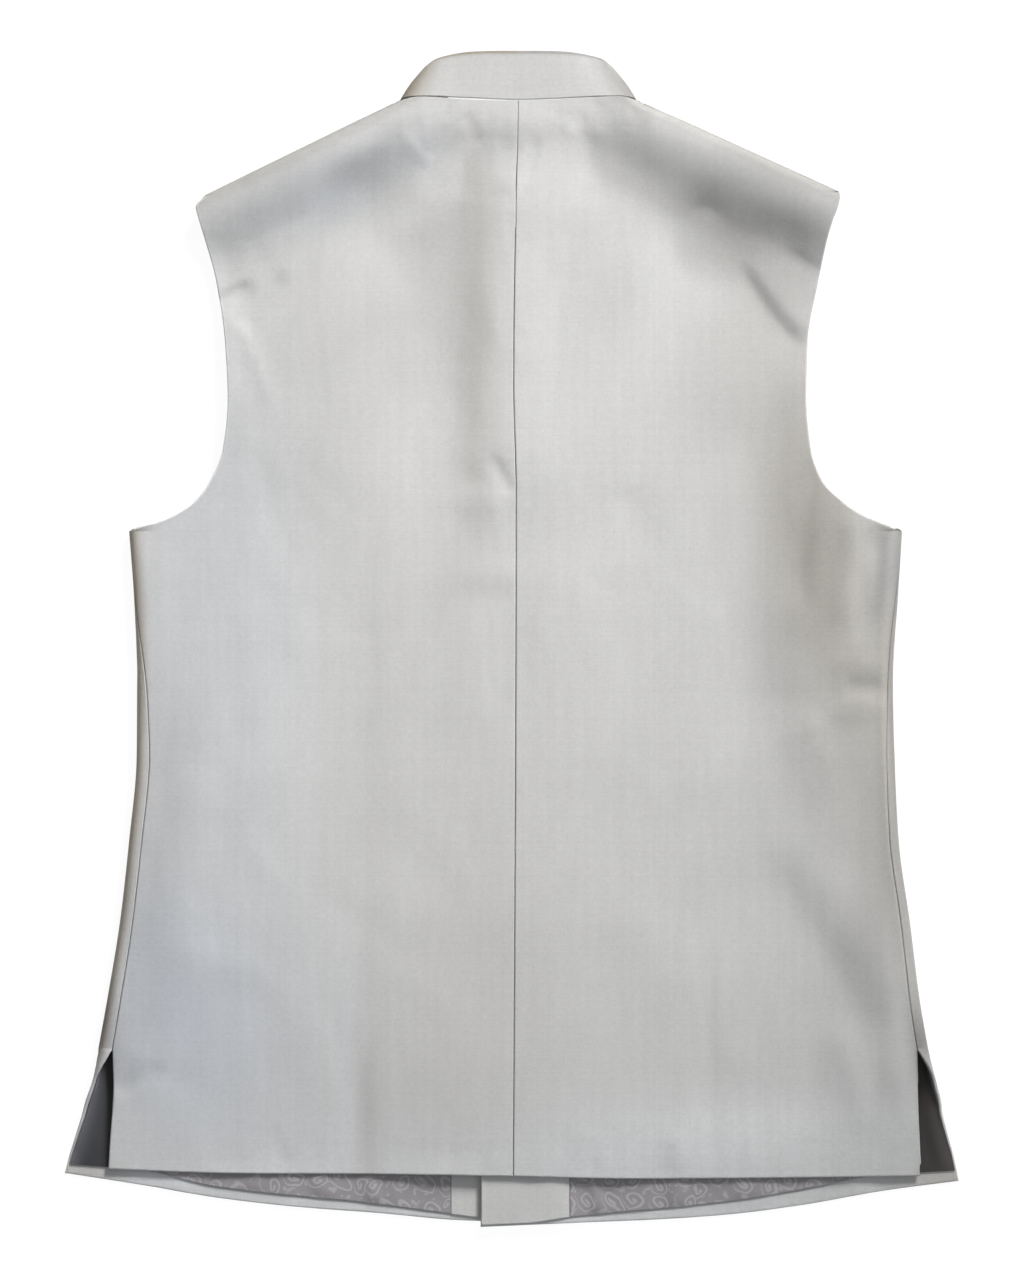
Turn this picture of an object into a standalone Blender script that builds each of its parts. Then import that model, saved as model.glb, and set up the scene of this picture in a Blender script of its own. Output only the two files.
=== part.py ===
"""A sleeveless waistcoat with a stand collar, laid flat with its back up.

The front panels lie on the ground and the back panels on top of them. Both are walls of cloth that
meet in a rounded fold along each side and each shoulder. Sizes are in millimetres, +X is the
wearer's right, +Y runs from hem to collar and +Z is up. A mesh is turned into metres when it is made.
"""

import math
from collections import namedtuple

import bmesh
import bpy
from mathutils import Vector

MM = 0.001
LEFT = -1
RIGHT = 1

# Cloth
WALL = 2.2
LINING = 1.0
FACING = 1.2
COLLAR_WALL = 2.4
SEAM_GAP = 0.3
LAYER_GAP = 0.3

# Side fold: a round roll from the front, up the side and onto the back
SIDE_ROLL = 6.0
SIDE_HEIGHT = 12.0
UNDERARM_Y = 73.0
VENT_TOP_Y = -276.0

# Shoulder fold: a straight slanting line from the neck to the armhole
SHOULDER_ROLL = 8.5
SHOULDER_NECK_Y = 362.5
SHOULDER_NECK_X = {LEFT: 78.1, RIGHT: 87.2}
SHOULDER_FALL = {LEFT: 0.489, RIGHT: 0.454}

# Neck: the front neckline is half an ellipse hung from the two side neck points
NECK_CENTRE = 4.5
NECK_HALF_WIDTH = 79.5
NECK_TOP_Y = 362.9
NECK_DEPTH = 85.0
NECK_TIP_Y = 361.5
COLLAR_SEAM_UP = 0.35

# Fronts: each runs past the centre to its edge, the left one outermost
FRONT_OVERLAP = 21.0
BUTTON_LIFT = 3.3
LIFT_FROM_Y = -238.0
LIFT_TO_Y = -195.0
PLACKET_FLAT = 24.0
PLACKET_STEPS = 4
NECKLINE_COLUMN = 4.5
PLACKET_SLOPE_END = 62.0
HEM_LAYERS = 4.0
PLACKET_LAYERS = 5.8

# Facings and linings, built where the open hem shows them
LAID_ROWS = 8
FACING_SEAM_X = {LEFT: 41.0, RIGHT: 38.6}
FACING_EDGE_IN = 0.6
FACING_HEM_IN = 1.6

# Buttons
WELD = 1e-6
BUTTON_RADIUS = 10.0
BUTTON_THICK = 3.0
BUTTON_RIM = 1.6
BUTTON_DISH = 0.8
BUTTON_COUNT = 6
BUTTON_TOP_Y = 250.0
BUTTON_SPACING = 85.0
BUTTON_SIDES = 24

# Mesh spacing
EDGE_STEP = 2.5
BACK_EDGE_STEPS = 5
FRONT_EDGE_STEPS = 9
BACK_FLAT_STEPS = 10
FRONT_FLAT_STEPS = 6
COLLAR_STEPS = 4
COLLAR_ROWS = 4

# Half width of the outline from the ground up to the underarm
Side = namedtuple("Side", "y left right")
SIDES = (
    Side(-276, 279.0, 281.1),
    Side(-243, 273.0, 275.4),
    Side(-189, 264.2, 268.6),
    Side(-135, 258.2, 261.2),
    Side(-81, 253.4, 258.5),
    Side(-27, 252.8, 257.2),
    Side(27, 254.8, 260.5),
    Side(73, 258.2, 263.4),
)

# Back armhole edge, and how much further in the front one is cut
Armhole = namedtuple("Armhole", "y left right front_in")
ARMHOLES = (
    Armhole(73, 257.6, 262.8, 0.0),
    Armhole(75.8, 251.4, 255.0, 1.0),
    Armhole(79.2, 239.3, 247.0, 3.0),
    Armhole(84, 227.6, 236.0, 6.0),
    Armhole(94, 213.0, 221.4, 9.0),
    Armhole(108, 202.6, 208.4, 11.5),
    Armhole(128, 194.8, 201.6, 12.5),
    Armhole(162, 191.4, 198.5, 13.0),
    Armhole(202, 193.4, 199.8, 12.0),
    Armhole(243, 199.5, 207.2, 8.0),
    Armhole(270, 207.0, 212.8, 4.0),
    Armhole(283, 210.9, 216.7, 2.0),
    Armhole(292, 213.0, 220.1, 0.5),
    Armhole(298, 208.3, 221.4, 0.0),
)
SHOULDER_FROM_Y = 300.0

# Side seam: how far along the cloth it lies past the outermost line of the fold, onto the back
Seam = namedtuple("Seam", "y left right")
SIDE_SEAMS = (
    Seam(-276, 12.7, 11.0),
    Seam(-184, 12.1, 10.2),
    Seam(-81, 12.5, 10.1),
    Seam(-43, 10.9, 8.1),
    Seam(-8, 7.4, 7.0),
    Seam(11, 5.0, 6.3),
    Seam(73, 0.0, 0.0),
)

# Side vents: the back's free edge, and the front's strip uncurling down to a flat corner
Vent = namedtuple("Vent", "y back_left back_right curl strip_left strip_right line_left line_right")
VENTS = (
    Vent(-276, 269.3, 273.5, 180, 22.1, 20.4, 273.0, 275.1),
    Vent(-288, 269.0, 273.7, 130, 22.8, 21.0, 272.4, 275.4),
    Vent(-300, 268.7, 274.0, 84, 23.8, 21.8, 272.0, 275.6),
    Vent(-316, 269.4, 274.4, 34, 25.6, 23.0, 271.8, 275.4),
    Vent(-334, 270.8, 275.2, 6, 27.4, 24.4, 271.8, 275.2),
    Vent(-350, 271.8, 276.0, 0, 28.6, 25.4, 271.8, 275.0),
    Vent(-366, 272.4, 276.4, 0, 30.0, 26.2, 271.8, 275.0),
)

# Hems: the height of each lower edge along its width
Hem = namedtuple("Hem", "x y")
FRONT_HEMS = {
    LEFT: (
        Hem(-300, -360.6),
        Hem(-244, -369.4),
        Hem(-196, -377.5),
        Hem(-142, -383.5),
        Hem(-88, -387.6),
        Hem(-35, -392.3),
        Hem(21, -394.0),
    ),
    RIGHT: (
        Hem(-21, -396.6),
        Hem(33, -394.3),
        Hem(87, -392.3),
        Hem(141, -388.9),
        Hem(195, -382.2),
        Hem(249, -372.7),
        Hem(301, -365.8),
    ),
}
BACK_HEM = (
    Hem(-272, -357.5),
    Hem(-184, -360.4),
    Hem(-89, -360.9),
    Hem(0, -362.0),
    Hem(86, -364.0),
    Hem(194, -363.2),
    Hem(276, -362.0),
)
LEAST_CURL = 1.0
HEM_FROM_Y = -300.0
VENT_EDGE_X = 290.0
HEM_BANDS = {LEFT: 6.4, RIGHT: 8.0}

# Centre back seam and neck seam
Centre = namedtuple("Centre", "y x")
CENTRE_BACK = (
    Centre(-366, 1.0),
    Centre(0, 2.7),
    Centre(97, 2.9),
    Centre(175, 1.2),
    Centre(366, 4.2),
)
Neck = namedtuple("Neck", "x y")
NECK_SEAM = (
    Neck(-78, 362.6),
    Neck(-62, 365.8),
    Neck(-21, 363.6),
    Neck(4, 363.2),
    Neck(32, 364.3),
    Neck(72, 366.0),
    Neck(88, 362.4),
)

# Height of the back's outer face along its middle and at its outer edges
Level = namedtuple("Level", "y middle outer")
LEVELS = (
    Level(-366, 10.9, 10.4),
    Level(-320, 11.5, 11.0),
    Level(-276, 12.2, SIDE_HEIGHT),
    Level(73, 12.4, SIDE_HEIGHT),
    Level(100, 12.5, 10.4),
    Level(180, 12.5, 9.4),
    Level(265, 13.4, 9.6),
    Level(300, 14.8, 13.0),
    Level(335, 15.2, 16.0),
    Level(366, 14.2, 15.6),
)
LEVEL_BLEND_FROM = 0.5
LEVEL_BLEND_TO = 0.95

# Largest folds of the back: soft ridges (height over 0) and troughs, each along one line
Fold = namedtuple("Fold", "name x0 y0 x1 y1 half_width height")
FOLDS = (
    Fold("right shoulder ridge", 105, 329, 214, 281, 10, 4.2),
    Fold("right shoulder trough", 50, 327, 206, 254, 12, -4.4),
    Fold("left shoulder ridge", -104, 331, -204, 285, 10, 2.6),
    Fold("left shoulder trough", -46, 333, -202, 257, 12, -3.4),
    Fold("ridge beside the centre seam", -21, 300, -10, 108, 14, 2.6),
    Fold("fullness below the right armhole", 226, 96, 236, -18, 24, 2.8),
    Fold("right waist pinch", 205, -22, 254, -33, 9, -1.8),
    Fold("slant to the right vent", 172, -150, 250, -236, 16, -1.8),
    Fold("slant to the left vent", -196, -206, -240, -292, 16, 1.6),
    Fold("right armhole crease", 148, 264, 196, 205, 9, -1.8),
    Fold("left armhole pinch", -168, 243, -195, 233, 8, -1.4),
)
FOLD_SOFT_END = 0.3
FOLD_EDGE_FROM = 7.0
FOLD_EDGE_TO = 28.0

# Stand collar, from centre back round to centre front: its seam and its top edge
Band = namedtuple("Band", "place base_out base_y base_z top_out top_y top_z")
COLLAR_SEAM_IN = 1.0
COLLAR_BOW = 1.6
COLLAR_BANDS = (
    Band("centre back", 0.0, 363.6, 14.2, 0.0, 396.6, 11.4),
    Band("back", 36.0, 364.9, 14.4, 31.0, 395.4, 11.2),
    Band("back corner", 60.0, 366.1, 14.6, 50.0, 391.8, 10.2),
    Band("upper roll", 74.0, 365.6, 12.6, 58.0, 388.4, 8.6),
    Band("side", 80.0, 363.4, 8.2, 61.0, 384.6, 6.0),
    Band("under roll", 79.4, 358.0, 3.4, 54.0, 376.0, 2.4),
    Band("front side", 76.6, 343.0, 0.8, 43.0, 357.0, 1.0),
    Band("front", 66.6, 317.0, 0.5, 37.0, 335.0, 0.6),
    Band("front corner", 38.0, 289.0, 0.8, 22.0, 317.0, 0.8),
    Band("front end", 6.0, 279.2, 0.6, 6.0, 311.0, 0.6),
)
COLLAR_END_RISE = {LEFT: 3.0, RIGHT: 5.5}
COLLAR_SIDE_PLACE = 4.0
COLLAR_BOW_SPREAD = 2.0
COLLAR_RISE_PLACE = 7.0

# Heights of the rows of points. The hem's rows are bent to the hem afterwards
HEM_ROWS = [-400, -382, -350, -320, HEM_FROM_Y, -288]
BODY_ROWS = [VENT_TOP_Y, -240, -200, -160, -120, -80, -40, 0, 36, 60] + [row.y for row in ARMHOLES[:-3]]
NECKLINE_RISES = (0.0, 0.8, 2.2)
SHOULDER_ROWS = [row.y for row in ARMHOLES[-3:]] + [302, 312, 325, 338, 350]

# Colours, linear, and finish
CLOTH_COLOUR = (0.56, 0.57, 0.58, 1.0)
LINING_COLOUR = (0.27, 0.25, 0.26, 1.0)
BUTTON_COLOUR = (0.30, 0.30, 0.32, 1.0)
CLOTH_ROUGHNESS = 0.9
LINING_ROUGHNESS = 0.45
BUTTON_ROUGHNESS = 0.35
SHARP_ANGLE = 40.0


def smooth(value):
    """0 below 0, 1 above 1 and a soft step between."""
    value = min(max(value, 0.0), 1.0)
    return value * value * (3.0 - 2.0 * value)


def read(table, key, column, at):
    """Reads one named column of a table at a place between its rows, on a smooth curve."""
    rows = sorted(table, key=lambda row: getattr(row, key))
    keys = [getattr(row, key) for row in rows]
    values = [getattr(row, column) for row in rows]
    if at <= keys[0]:
        return values[0]
    if at >= keys[-1]:
        return values[-1]
    i = max(k for k in range(len(keys) - 1) if keys[k] <= at)
    span = keys[i + 1] - keys[i]
    share = (at - keys[i]) / span
    slope = (values[i + 1] - values[i]) / span
    before = (values[i] - values[i - 1]) / (keys[i] - keys[i - 1]) if i > 0 else slope
    after = (values[i + 2] - values[i + 1]) / (keys[i + 2] - keys[i + 1]) if i + 2 < len(keys) else slope
    start = 0.0 if before * slope <= 0 else 2.0 * before * slope / (before + slope)
    end = 0.0 if after * slope <= 0 else 2.0 * after * slope / (after + slope)
    return (
        values[i] * (1 + 2 * share) * (1 - share) ** 2
        + span * start * share * (1 - share) ** 2
        + values[i + 1] * share**2 * (3 - 2 * share)
        + span * end * share**2 * (share - 1)
    )


def side_name(side):
    return "left" if side == LEFT else "right"


def shoulder_line(side, y):
    """Half width of the shoulder's fold line, drawn on past both its ends."""
    return SHOULDER_NECK_X[side] + (SHOULDER_NECK_Y - y) / SHOULDER_FALL[side]


def fold_line(side, y):
    """Half width of the outermost line of the fold: the side's below, the shoulder's above."""
    return min(read(SIDES, "y", side_name(side), y), shoulder_line(side, y))


def roll(side, y):
    """Width of the rounded part of the fold, along X."""
    if shoulder_line(side, y) < read(SIDES, "y", side_name(side), y):
        fall = SHOULDER_FALL[side]
        return SHOULDER_ROLL * math.sqrt(1 + fall * fall) / fall
    return SIDE_ROLL


def crown(x, y):
    """Height of the back's outer face, away from its rounded edges."""
    side = LEFT if x < NECK_CENTRE else RIGHT
    share = abs(x) / fold_line(side, y)
    outward = smooth((share - LEVEL_BLEND_FROM) / (LEVEL_BLEND_TO - LEVEL_BLEND_FROM))
    middle = read(LEVELS, "y", "middle", y)
    outer = read(LEVELS, "y", "outer", y)
    height = middle + (outer - middle) * outward
    inset = fold_line(side, y) - abs(x)
    away = smooth((inset - FOLD_EDGE_FROM) / (FOLD_EDGE_TO - FOLD_EDGE_FROM))
    return height + away * sum(fold_height(fold, x, y) for fold in FOLDS)


def fold_height(fold, x, y):
    """What one fold adds at a point: a rounded ridge or trough that fades at both ends."""
    along = Vector((fold.x1 - fold.x0, fold.y1 - fold.y0))
    here = Vector((x - fold.x0, y - fold.y0))
    share = here.dot(along) / along.length_squared
    ends = smooth(share / FOLD_SOFT_END + 0.5) * smooth((1 - share) / FOLD_SOFT_END + 0.5)
    across = (here - along * share).length / fold.half_width
    return fold.height * ends * math.exp(-across * across)


def ground(side, x, y):
    """Height of a front's outer face: flat on the ground, raised where layers or buttons lie under it."""
    lifted = smooth((y - LIFT_FROM_Y) / (LIFT_TO_Y - LIFT_FROM_Y))
    if side == LEFT:
        height = BUTTON_LIFT * lifted
        past = -x
    else:
        height = HEM_LAYERS + (PLACKET_LAYERS - HEM_LAYERS) * lifted
        past = x
    return height * (1 - smooth((past - PLACKET_FLAT) / (PLACKET_SLOPE_END - PLACKET_FLAT)))


def quarter(width, height):
    """Length of a quarter of an ellipse."""
    return math.pi / 2 * math.sqrt((width * width + height * height) / 2)


def skin(side, y, s):
    """A point of the garment's outer face, s along the cloth from the fold's outermost line.

    s is over 0 on the back's side of the fold, and under 0 on the front's.
    """
    width = roll(side, y)
    line = fold_line(side, y)
    top = crown(side * (line - width), y)
    middle = top / 2
    reach = quarter(width, middle)
    if abs(s) < reach:
        angle = abs(s) / reach * math.pi / 2
        x = side * (line - width * (1 - math.cos(angle)))
        rise = math.sin(angle)
    else:
        x = side * (line - width - (abs(s) - reach))
        rise = 1.0
    outer = crown(x, y) if s > 0 else ground(side, x, y)
    return Vector((x, y, middle + (outer - middle) * rise))


def along_cloth(side, y, half_width):
    """How far along the cloth from the fold's outermost line a place at this half width lies."""
    width = roll(side, y)
    inset = fold_line(side, y) - half_width
    reach = quarter(width, crown(side * (fold_line(side, y) - width), y) / 2)
    if inset >= width:
        return reach + inset - width
    return reach * math.acos(1 - max(inset, 0.0) / width) / (math.pi / 2)


def curled(side, y, w):
    """A point of a front below the vent's top, w along the cloth past the line where it starts to curl."""
    turn = math.radians(read(VENTS, "y", "curl", y))
    line = read(VENTS, "y", "line_" + side_name(side), y)
    reach = math.pi * SIDE_ROLL
    if w <= 0 or turn < math.radians(LEAST_CURL):
        x = side * (line + w)
        return Vector((x, y, ground(side, x, y)))
    radius = reach / turn
    angle = min(w, reach) / radius
    rest = max(w - reach, 0.0)
    out = radius * math.sin(angle) + rest * math.cos(angle)
    up = radius * (1 - math.cos(angle)) + rest * math.sin(angle)
    return Vector((side * (line + out), y, up))


def armhole(side, y, front):
    """Half width of a panel's armhole edge."""
    inset = read(ARMHOLES, "y", "front_in", y) if front else 0.0
    return read(ARMHOLES, "y", side_name(side), y) - inset


def neckline(y):
    """Half width of the front neckline about the neck's centre."""
    drop = min((NECK_TOP_Y - y) / NECK_DEPTH, 1.0)
    return NECK_HALF_WIDTH * math.sqrt(max(1 - drop * drop, 0.0))


def spaced(start, end, step, edge_steps, flat_steps):
    """Places from start to end: edge_steps close ones, where the cloth is rounded, and then even ones.

    One more place comes first, a step outside the start. It only steadies the edge's normals.
    """
    whole = end - start
    step = math.copysign(min(step, abs(whole) / (edge_steps + flat_steps)), whole)
    near = [start + step * i for i in range(-1, edge_steps)]
    rest = start + step * edge_steps
    return near + [rest + (end - rest) * i / flat_steps for i in range(flat_steps + 1)]


def rounded_step(side, y):
    """Spacing that takes the rounded part of a fold in a few even steps."""
    width = roll(side, y)
    height = crown(side * (fold_line(side, y) - width), y) / 2
    return max(EDGE_STEP, quarter(width, height) / BACK_EDGE_STEPS)


def hem_bent(row_y, x, hem, rise=0.0):
    """Height of a row near the hem, bent so that the lowest row follows the hem's own curve."""
    if row_y >= HEM_FROM_Y:
        return row_y
    share = (row_y - HEM_FROM_Y) / (HEM_ROWS[0] - HEM_FROM_Y)
    return HEM_FROM_Y + (read(hem, "x", "y", x) + rise - HEM_FROM_Y) * share


def back_grid(side):
    """Rows of points of one back's outer face, each from its outer edge to the centre back seam."""
    rows = []
    for row_y in HEM_ROWS + BODY_ROWS + SHOULDER_ROWS + [NECK_TOP_Y]:
        centre = side * read(CENTRE_BACK, "y", "x", row_y) + SEAM_GAP / 2
        if row_y < VENT_TOP_Y:
            rows.append(back_hem_row(side, row_y, centre))
            continue
        if row_y <= UNDERARM_Y:
            outer = read(SIDE_SEAMS, "y", side_name(side), row_y) + SEAM_GAP / 2
        elif row_y < SHOULDER_FROM_Y:
            outer = along_cloth(side, row_y, armhole(side, row_y, False))
        else:
            outer = SEAM_GAP / 2
        inner = along_cloth(side, row_y, centre)
        places = spaced(outer, inner, rounded_step(side, row_y), BACK_EDGE_STEPS, BACK_FLAT_STEPS)
        rows.append([skin(side, row_y, s) for s in places])
    neck = [read(NECK_SEAM, "x", "y", point.x) - SEAM_GAP / 2 for point in rows[-1]]
    rows[-1] = [Vector((point.x, y, point.z)) for point, y in zip(rows[-1], neck)]
    return rows


def back_hem_row(side, row_y, centre):
    """One row of a back beside the vent, from its free edge to the centre back seam."""
    edge_y = hem_bent(row_y, side * VENT_EDGE_X, BACK_HEM)
    edge = read(VENTS, "y", "back_" + side_name(side), edge_y)
    row = []
    for half in spaced(edge, centre, EDGE_STEP, BACK_EDGE_STEPS, BACK_FLAT_STEPS):
        y = hem_bent(row_y, side * half, BACK_HEM)
        row.append(Vector((side * half, y, crown(side * half, y))))
    return row


def front_outer(side, y):
    """Where a front's outer edge lies along the cloth: at its seam, or at its armhole."""
    if y <= UNDERARM_Y:
        return read(SIDE_SEAMS, "y", side_name(side), y) - SEAM_GAP / 2
    if y < SHOULDER_FROM_Y:
        return -along_cloth(side, y, armhole(side, y, True))
    return -SEAM_GAP / 2


def front_inner(side, y):
    """Half width of a front's inner edge: past the centre, or on the neckline above it."""
    if y <= NECK_TOP_Y - NECK_DEPTH:
        return -FRONT_OVERLAP
    return side * NECK_CENTRE + neckline(y)


def front_columns(side, start, inner):
    """Half widths of a front's flat columns, from where its rounded part ends to its inner edge."""
    apart = NECKLINE_COLUMN * min((start - inner) / PLACKET_SLOPE_END, 1.0)
    named = (PLACKET_FLAT, FACING_SEAM_X[side], PLACKET_SLOPE_END)
    placket = [max(half, inner + apart * (k + 1)) for k, half in enumerate(named)]
    even = [start + (placket[-1] - start) * i / FRONT_FLAT_STEPS for i in range(1, FRONT_FLAT_STEPS)]
    return even + placket[::-1] + [(placket[0] + inner) / 2, inner]


def front_grid(side):
    """Rows of points of one front's outer face, each from past its seam to its inner edge."""
    rows = []
    neck_rows = [NECK_TOP_Y - NECK_DEPTH + rise for rise in NECKLINE_RISES]
    for row_y in HEM_ROWS + BODY_ROWS + neck_rows + SHOULDER_ROWS + [NECK_TIP_Y]:
        inner = front_inner(side, row_y)
        if row_y < VENT_TOP_Y:
            rows.append(front_hem_row(side, row_y, inner))
            continue
        outer = front_outer(side, row_y)
        whole = outer + along_cloth(side, row_y, inner)
        step = min(rounded_step(side, row_y), whole / (FRONT_EDGE_STEPS + FRONT_FLAT_STEPS + PLACKET_STEPS))
        row = [skin(side, row_y, outer - step * i) for i in range(-1, FRONT_EDGE_STEPS + 1)]
        for half in front_columns(side, abs(row[-1].x), inner):
            row.append(skin(side, row_y, -along_cloth(side, row_y, half)))
        rows.append(row)
    return rows


def front_hem_row(side, row_y, inner):
    """One row of a front beside the vent, from its curled strip to its inner edge."""
    hem = FRONT_HEMS[side]
    edge_y = hem_bent(row_y, side * VENT_EDGE_X, hem)
    strip = read(VENTS, "y", "strip_" + side_name(side), edge_y)
    row = [curled(side, edge_y, strip - EDGE_STEP * i) for i in range(-1, FRONT_EDGE_STEPS + 1)]
    for half in front_columns(side, abs(row[-1].x), inner):
        x = side * half
        row.append(Vector((x, edge_y, ground(side, x, edge_y))))
    for point in row:
        point.y = hem_bent(row_y, point.x, hem)
    return row


def on_curve(bands, column, place):
    """Reads one column of the collar's rows on a smooth curve, place counted in rows."""
    i = min(int(place), len(bands) - 2)
    t = place - i
    values = [getattr(bands[min(max(k, 0), len(bands) - 1)], column) for k in range(i - 1, i + 3)]
    if i == 0:
        mirrored = -1 if column.endswith("out") else 1
        values[0] = mirrored * getattr(bands[1], column)
    a, b, c, d = values
    return b + t / 2 * (c - a + t * (2 * a - 5 * b + 4 * c - d + t * (3 * (b - c) + d - a)))


def inside_neckline(point):
    """Draws a point of the collar's seam in to lie just inside the front neckline."""
    across = (point.x - NECK_CENTRE) / (NECK_HALF_WIDTH - COLLAR_SEAM_IN)
    down = (NECK_TOP_Y - point.y) / (NECK_DEPTH - COLLAR_SEAM_IN)
    beyond = math.hypot(across, down)
    if down <= 0 or beyond <= 1:
        return point
    x = NECK_CENTRE + (point.x - NECK_CENTRE) / beyond
    return Vector((x, NECK_TOP_Y - (NECK_TOP_Y - point.y) / beyond, point.z))


def collar_line(side, place):
    """Points across the collar at one place, from its seam to its top edge, on its outer face."""
    values = {column: on_curve(COLLAR_BANDS, column, place) for column in Band._fields[1:]}
    base = Vector((NECK_CENTRE + side * values["base_out"], values["base_y"], values["base_z"]))
    top = Vector((NECK_CENTRE + side * values["top_out"], values["top_y"], values["top_z"]))
    lift = Vector((0, 0, COLLAR_END_RISE[side] * smooth(place - COLLAR_RISE_PLACE)))
    if base.y > NECK_TOP_Y + SEAM_GAP:
        base.y = max(base.y, read(NECK_SEAM, "x", "y", base.x) + COLLAR_SEAM_UP)
    base = inside_neckline(base) + lift
    top += lift
    out = Vector((side, 0, 0)) * COLLAR_BOW * smooth(1 - abs(place - COLLAR_SIDE_PLACE) / COLLAR_BOW_SPREAD)
    line = []
    for i in range(COLLAR_ROWS + 1):
        share = i / COLLAR_ROWS
        line.append(base.lerp(top, share) + out * math.sin(math.pi * share))
    return line


def collar_grid():
    """Rows of points of the collar's outer face, from the left front end round the back to the right."""
    last = len(COLLAR_BANDS) - 1
    places = [i / COLLAR_STEPS for i in range(last * COLLAR_STEPS + 1)]
    left = [collar_line(LEFT, place) for place in reversed(places)]
    right = [collar_line(RIGHT, place) for place in places[1:]]
    return left + right


def normals_of(rows):
    """Unit normals of a grid of points, from the cloth's run along and across each point."""
    normals = []
    last_row = len(rows) - 1
    for j, row in enumerate(rows):
        line = []
        for i in range(len(row)):
            up = rows[min(j + 1, last_row)][i] - rows[max(j - 1, 0)][i]
            along = row[min(i + 1, len(row) - 1)] - row[max(i - 1, 0)]
            line.append(along.cross(up).normalized())
        normals.append(line)
    return normals


def moved(rows, normals, distance):
    """The same grid, moved along its normals."""
    return [
        [point + normal * distance for point, normal in zip(row, line)]
        for row, line in zip(rows, normals)
    ]


def trimmed(rows):
    """A grid without its first column, which lies outside the cloth's edge."""
    return [row[1:] for row in rows]


def laid_on(rows, first, last, first_in, last_in, rise):
    """The part of a front's grid under a facing or lining, its ends and its hem drawn in a little."""
    part = [[point.copy() for point in row[first : last + 1]] for row in rows[:LAID_ROWS]]
    for row in part:
        row[0] += (row[1] - row[0]).normalized() * first_in
        row[-1] += (row[-2] - row[-1]).normalized() * last_in
    for point in part[0]:
        point.y += rise
    return part


def wall(name, outer, inner, material):
    """Makes a closed solid between two grids of points, the first of them on its outer face."""
    mesh = bmesh.new()
    faces = [[mesh.verts.new(p * MM) for p in row] for row in outer]
    backs = [[mesh.verts.new(p * MM) for p in row] for row in inner]
    rows = len(outer)
    columns = len(outer[0])
    for j in range(rows - 1):
        for i in range(columns - 1):
            mesh.faces.new((faces[j][i], faces[j][i + 1], faces[j + 1][i + 1], faces[j + 1][i]))
            mesh.faces.new((backs[j][i], backs[j + 1][i], backs[j + 1][i + 1], backs[j][i + 1]))
    rim = [(0, i) for i in range(columns)]
    rim += [(j, columns - 1) for j in range(1, rows)]
    rim += [(rows - 1, i) for i in range(columns - 2, -1, -1)]
    rim += [(j, 0) for j in range(rows - 2, 0, -1)]
    for (j, i), (k, n) in zip(rim, rim[1:] + rim[:1]):
        mesh.faces.new((faces[j][i], backs[j][i], backs[k][n], faces[k][n]))
    bmesh.ops.recalc_face_normals(mesh, faces=mesh.faces)
    add_object(name, mesh, material)


def add_object(name, mesh, material):
    """Puts a mesh into the scene as one smooth object."""
    data = bpy.data.meshes.new(name)
    mesh.to_mesh(data)
    mesh.free()
    data.shade_smooth()
    data.set_sharp_from_angle(angle=math.radians(SHARP_ANGLE))
    data.materials.append(material)
    thing = bpy.data.objects.new(name, data)
    bpy.context.scene.collection.objects.link(thing)
    return thing


def make_material(name, colour, roughness):
    material = bpy.data.materials.new(name)
    material.use_nodes = True
    shader = material.node_tree.nodes["Principled BSDF"]
    shader.inputs["Base Color"].default_value = colour
    shader.inputs["Roughness"].default_value = roughness
    shader.inputs["Metallic"].default_value = 0.0
    return material


def make_panels(cloth, silk):
    """The backs and fronts, and what lines the fronts near the hem."""
    under = WALL + LAYER_GAP
    seam_column = FRONT_EDGE_STEPS + FRONT_FLAT_STEPS + 1
    half_gap = SEAM_GAP / 2
    for side in (LEFT, RIGHT):
        name = side_name(side)
        back = back_grid(side)
        normals = trimmed(normals_of(back))
        back = trimmed(back)
        wall("back_" + name, back, moved(back, normals, side * WALL), cloth)
        front = front_grid(side)
        normals = trimmed(normals_of(front))
        front = trimmed(front)
        wall("front_" + name, front, moved(front, normals, -side * WALL), cloth)
        last = len(front[0]) - 1
        lining = laid_on(front, 1, seam_column, 0.0, half_gap, HEM_BANDS[side])
        facing = laid_on(front, seam_column, last, half_gap, FACING_EDGE_IN, FACING_HEM_IN)
        for kind, rows, first, thick, material in (
            ("lining_", lining, 1, LINING, silk),
            ("facing_", facing, seam_column, FACING, cloth),
        ):
            part = [line[first:] for line in normals]
            outer = moved(rows, part, -side * under)
            wall(kind + name, outer, moved(rows, part, -side * (under + thick)), material)


def make_buttons(horn):
    """Round buttons with a raised rim, their outer faces on the ground."""
    rim_in = BUTTON_RADIUS - BUTTON_RIM
    corner = BUTTON_RIM / 2
    profile = (
        (0.0, BUTTON_DISH),
        (rim_in - corner, BUTTON_DISH),
        (rim_in, 0.0),
        (BUTTON_RADIUS - corner, 0.0),
        (BUTTON_RADIUS, corner),
        (BUTTON_RADIUS, BUTTON_THICK - corner),
        (BUTTON_RADIUS - corner, BUTTON_THICK),
        (0.0, BUTTON_THICK),
    )
    for i in range(BUTTON_COUNT):
        mesh = bmesh.new()
        points = [mesh.verts.new(Vector((radius, 0, height)) * MM) for radius, height in profile]
        edges = [mesh.edges.new(pair) for pair in zip(points, points[1:])]
        bmesh.ops.spin(
            mesh,
            geom=points + edges,
            axis=(0, 0, 1),
            cent=(0, 0, 0),
            steps=BUTTON_SIDES,
            angle=2 * math.pi,
            use_merge=True,
        )
        bmesh.ops.remove_doubles(mesh, verts=mesh.verts, dist=WELD)
        bmesh.ops.recalc_face_normals(mesh, faces=mesh.faces)
        button = add_object(f"button_{i + 1}", mesh, horn)
        button.location = Vector((0, BUTTON_TOP_Y - BUTTON_SPACING * i, 0)) * MM


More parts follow.
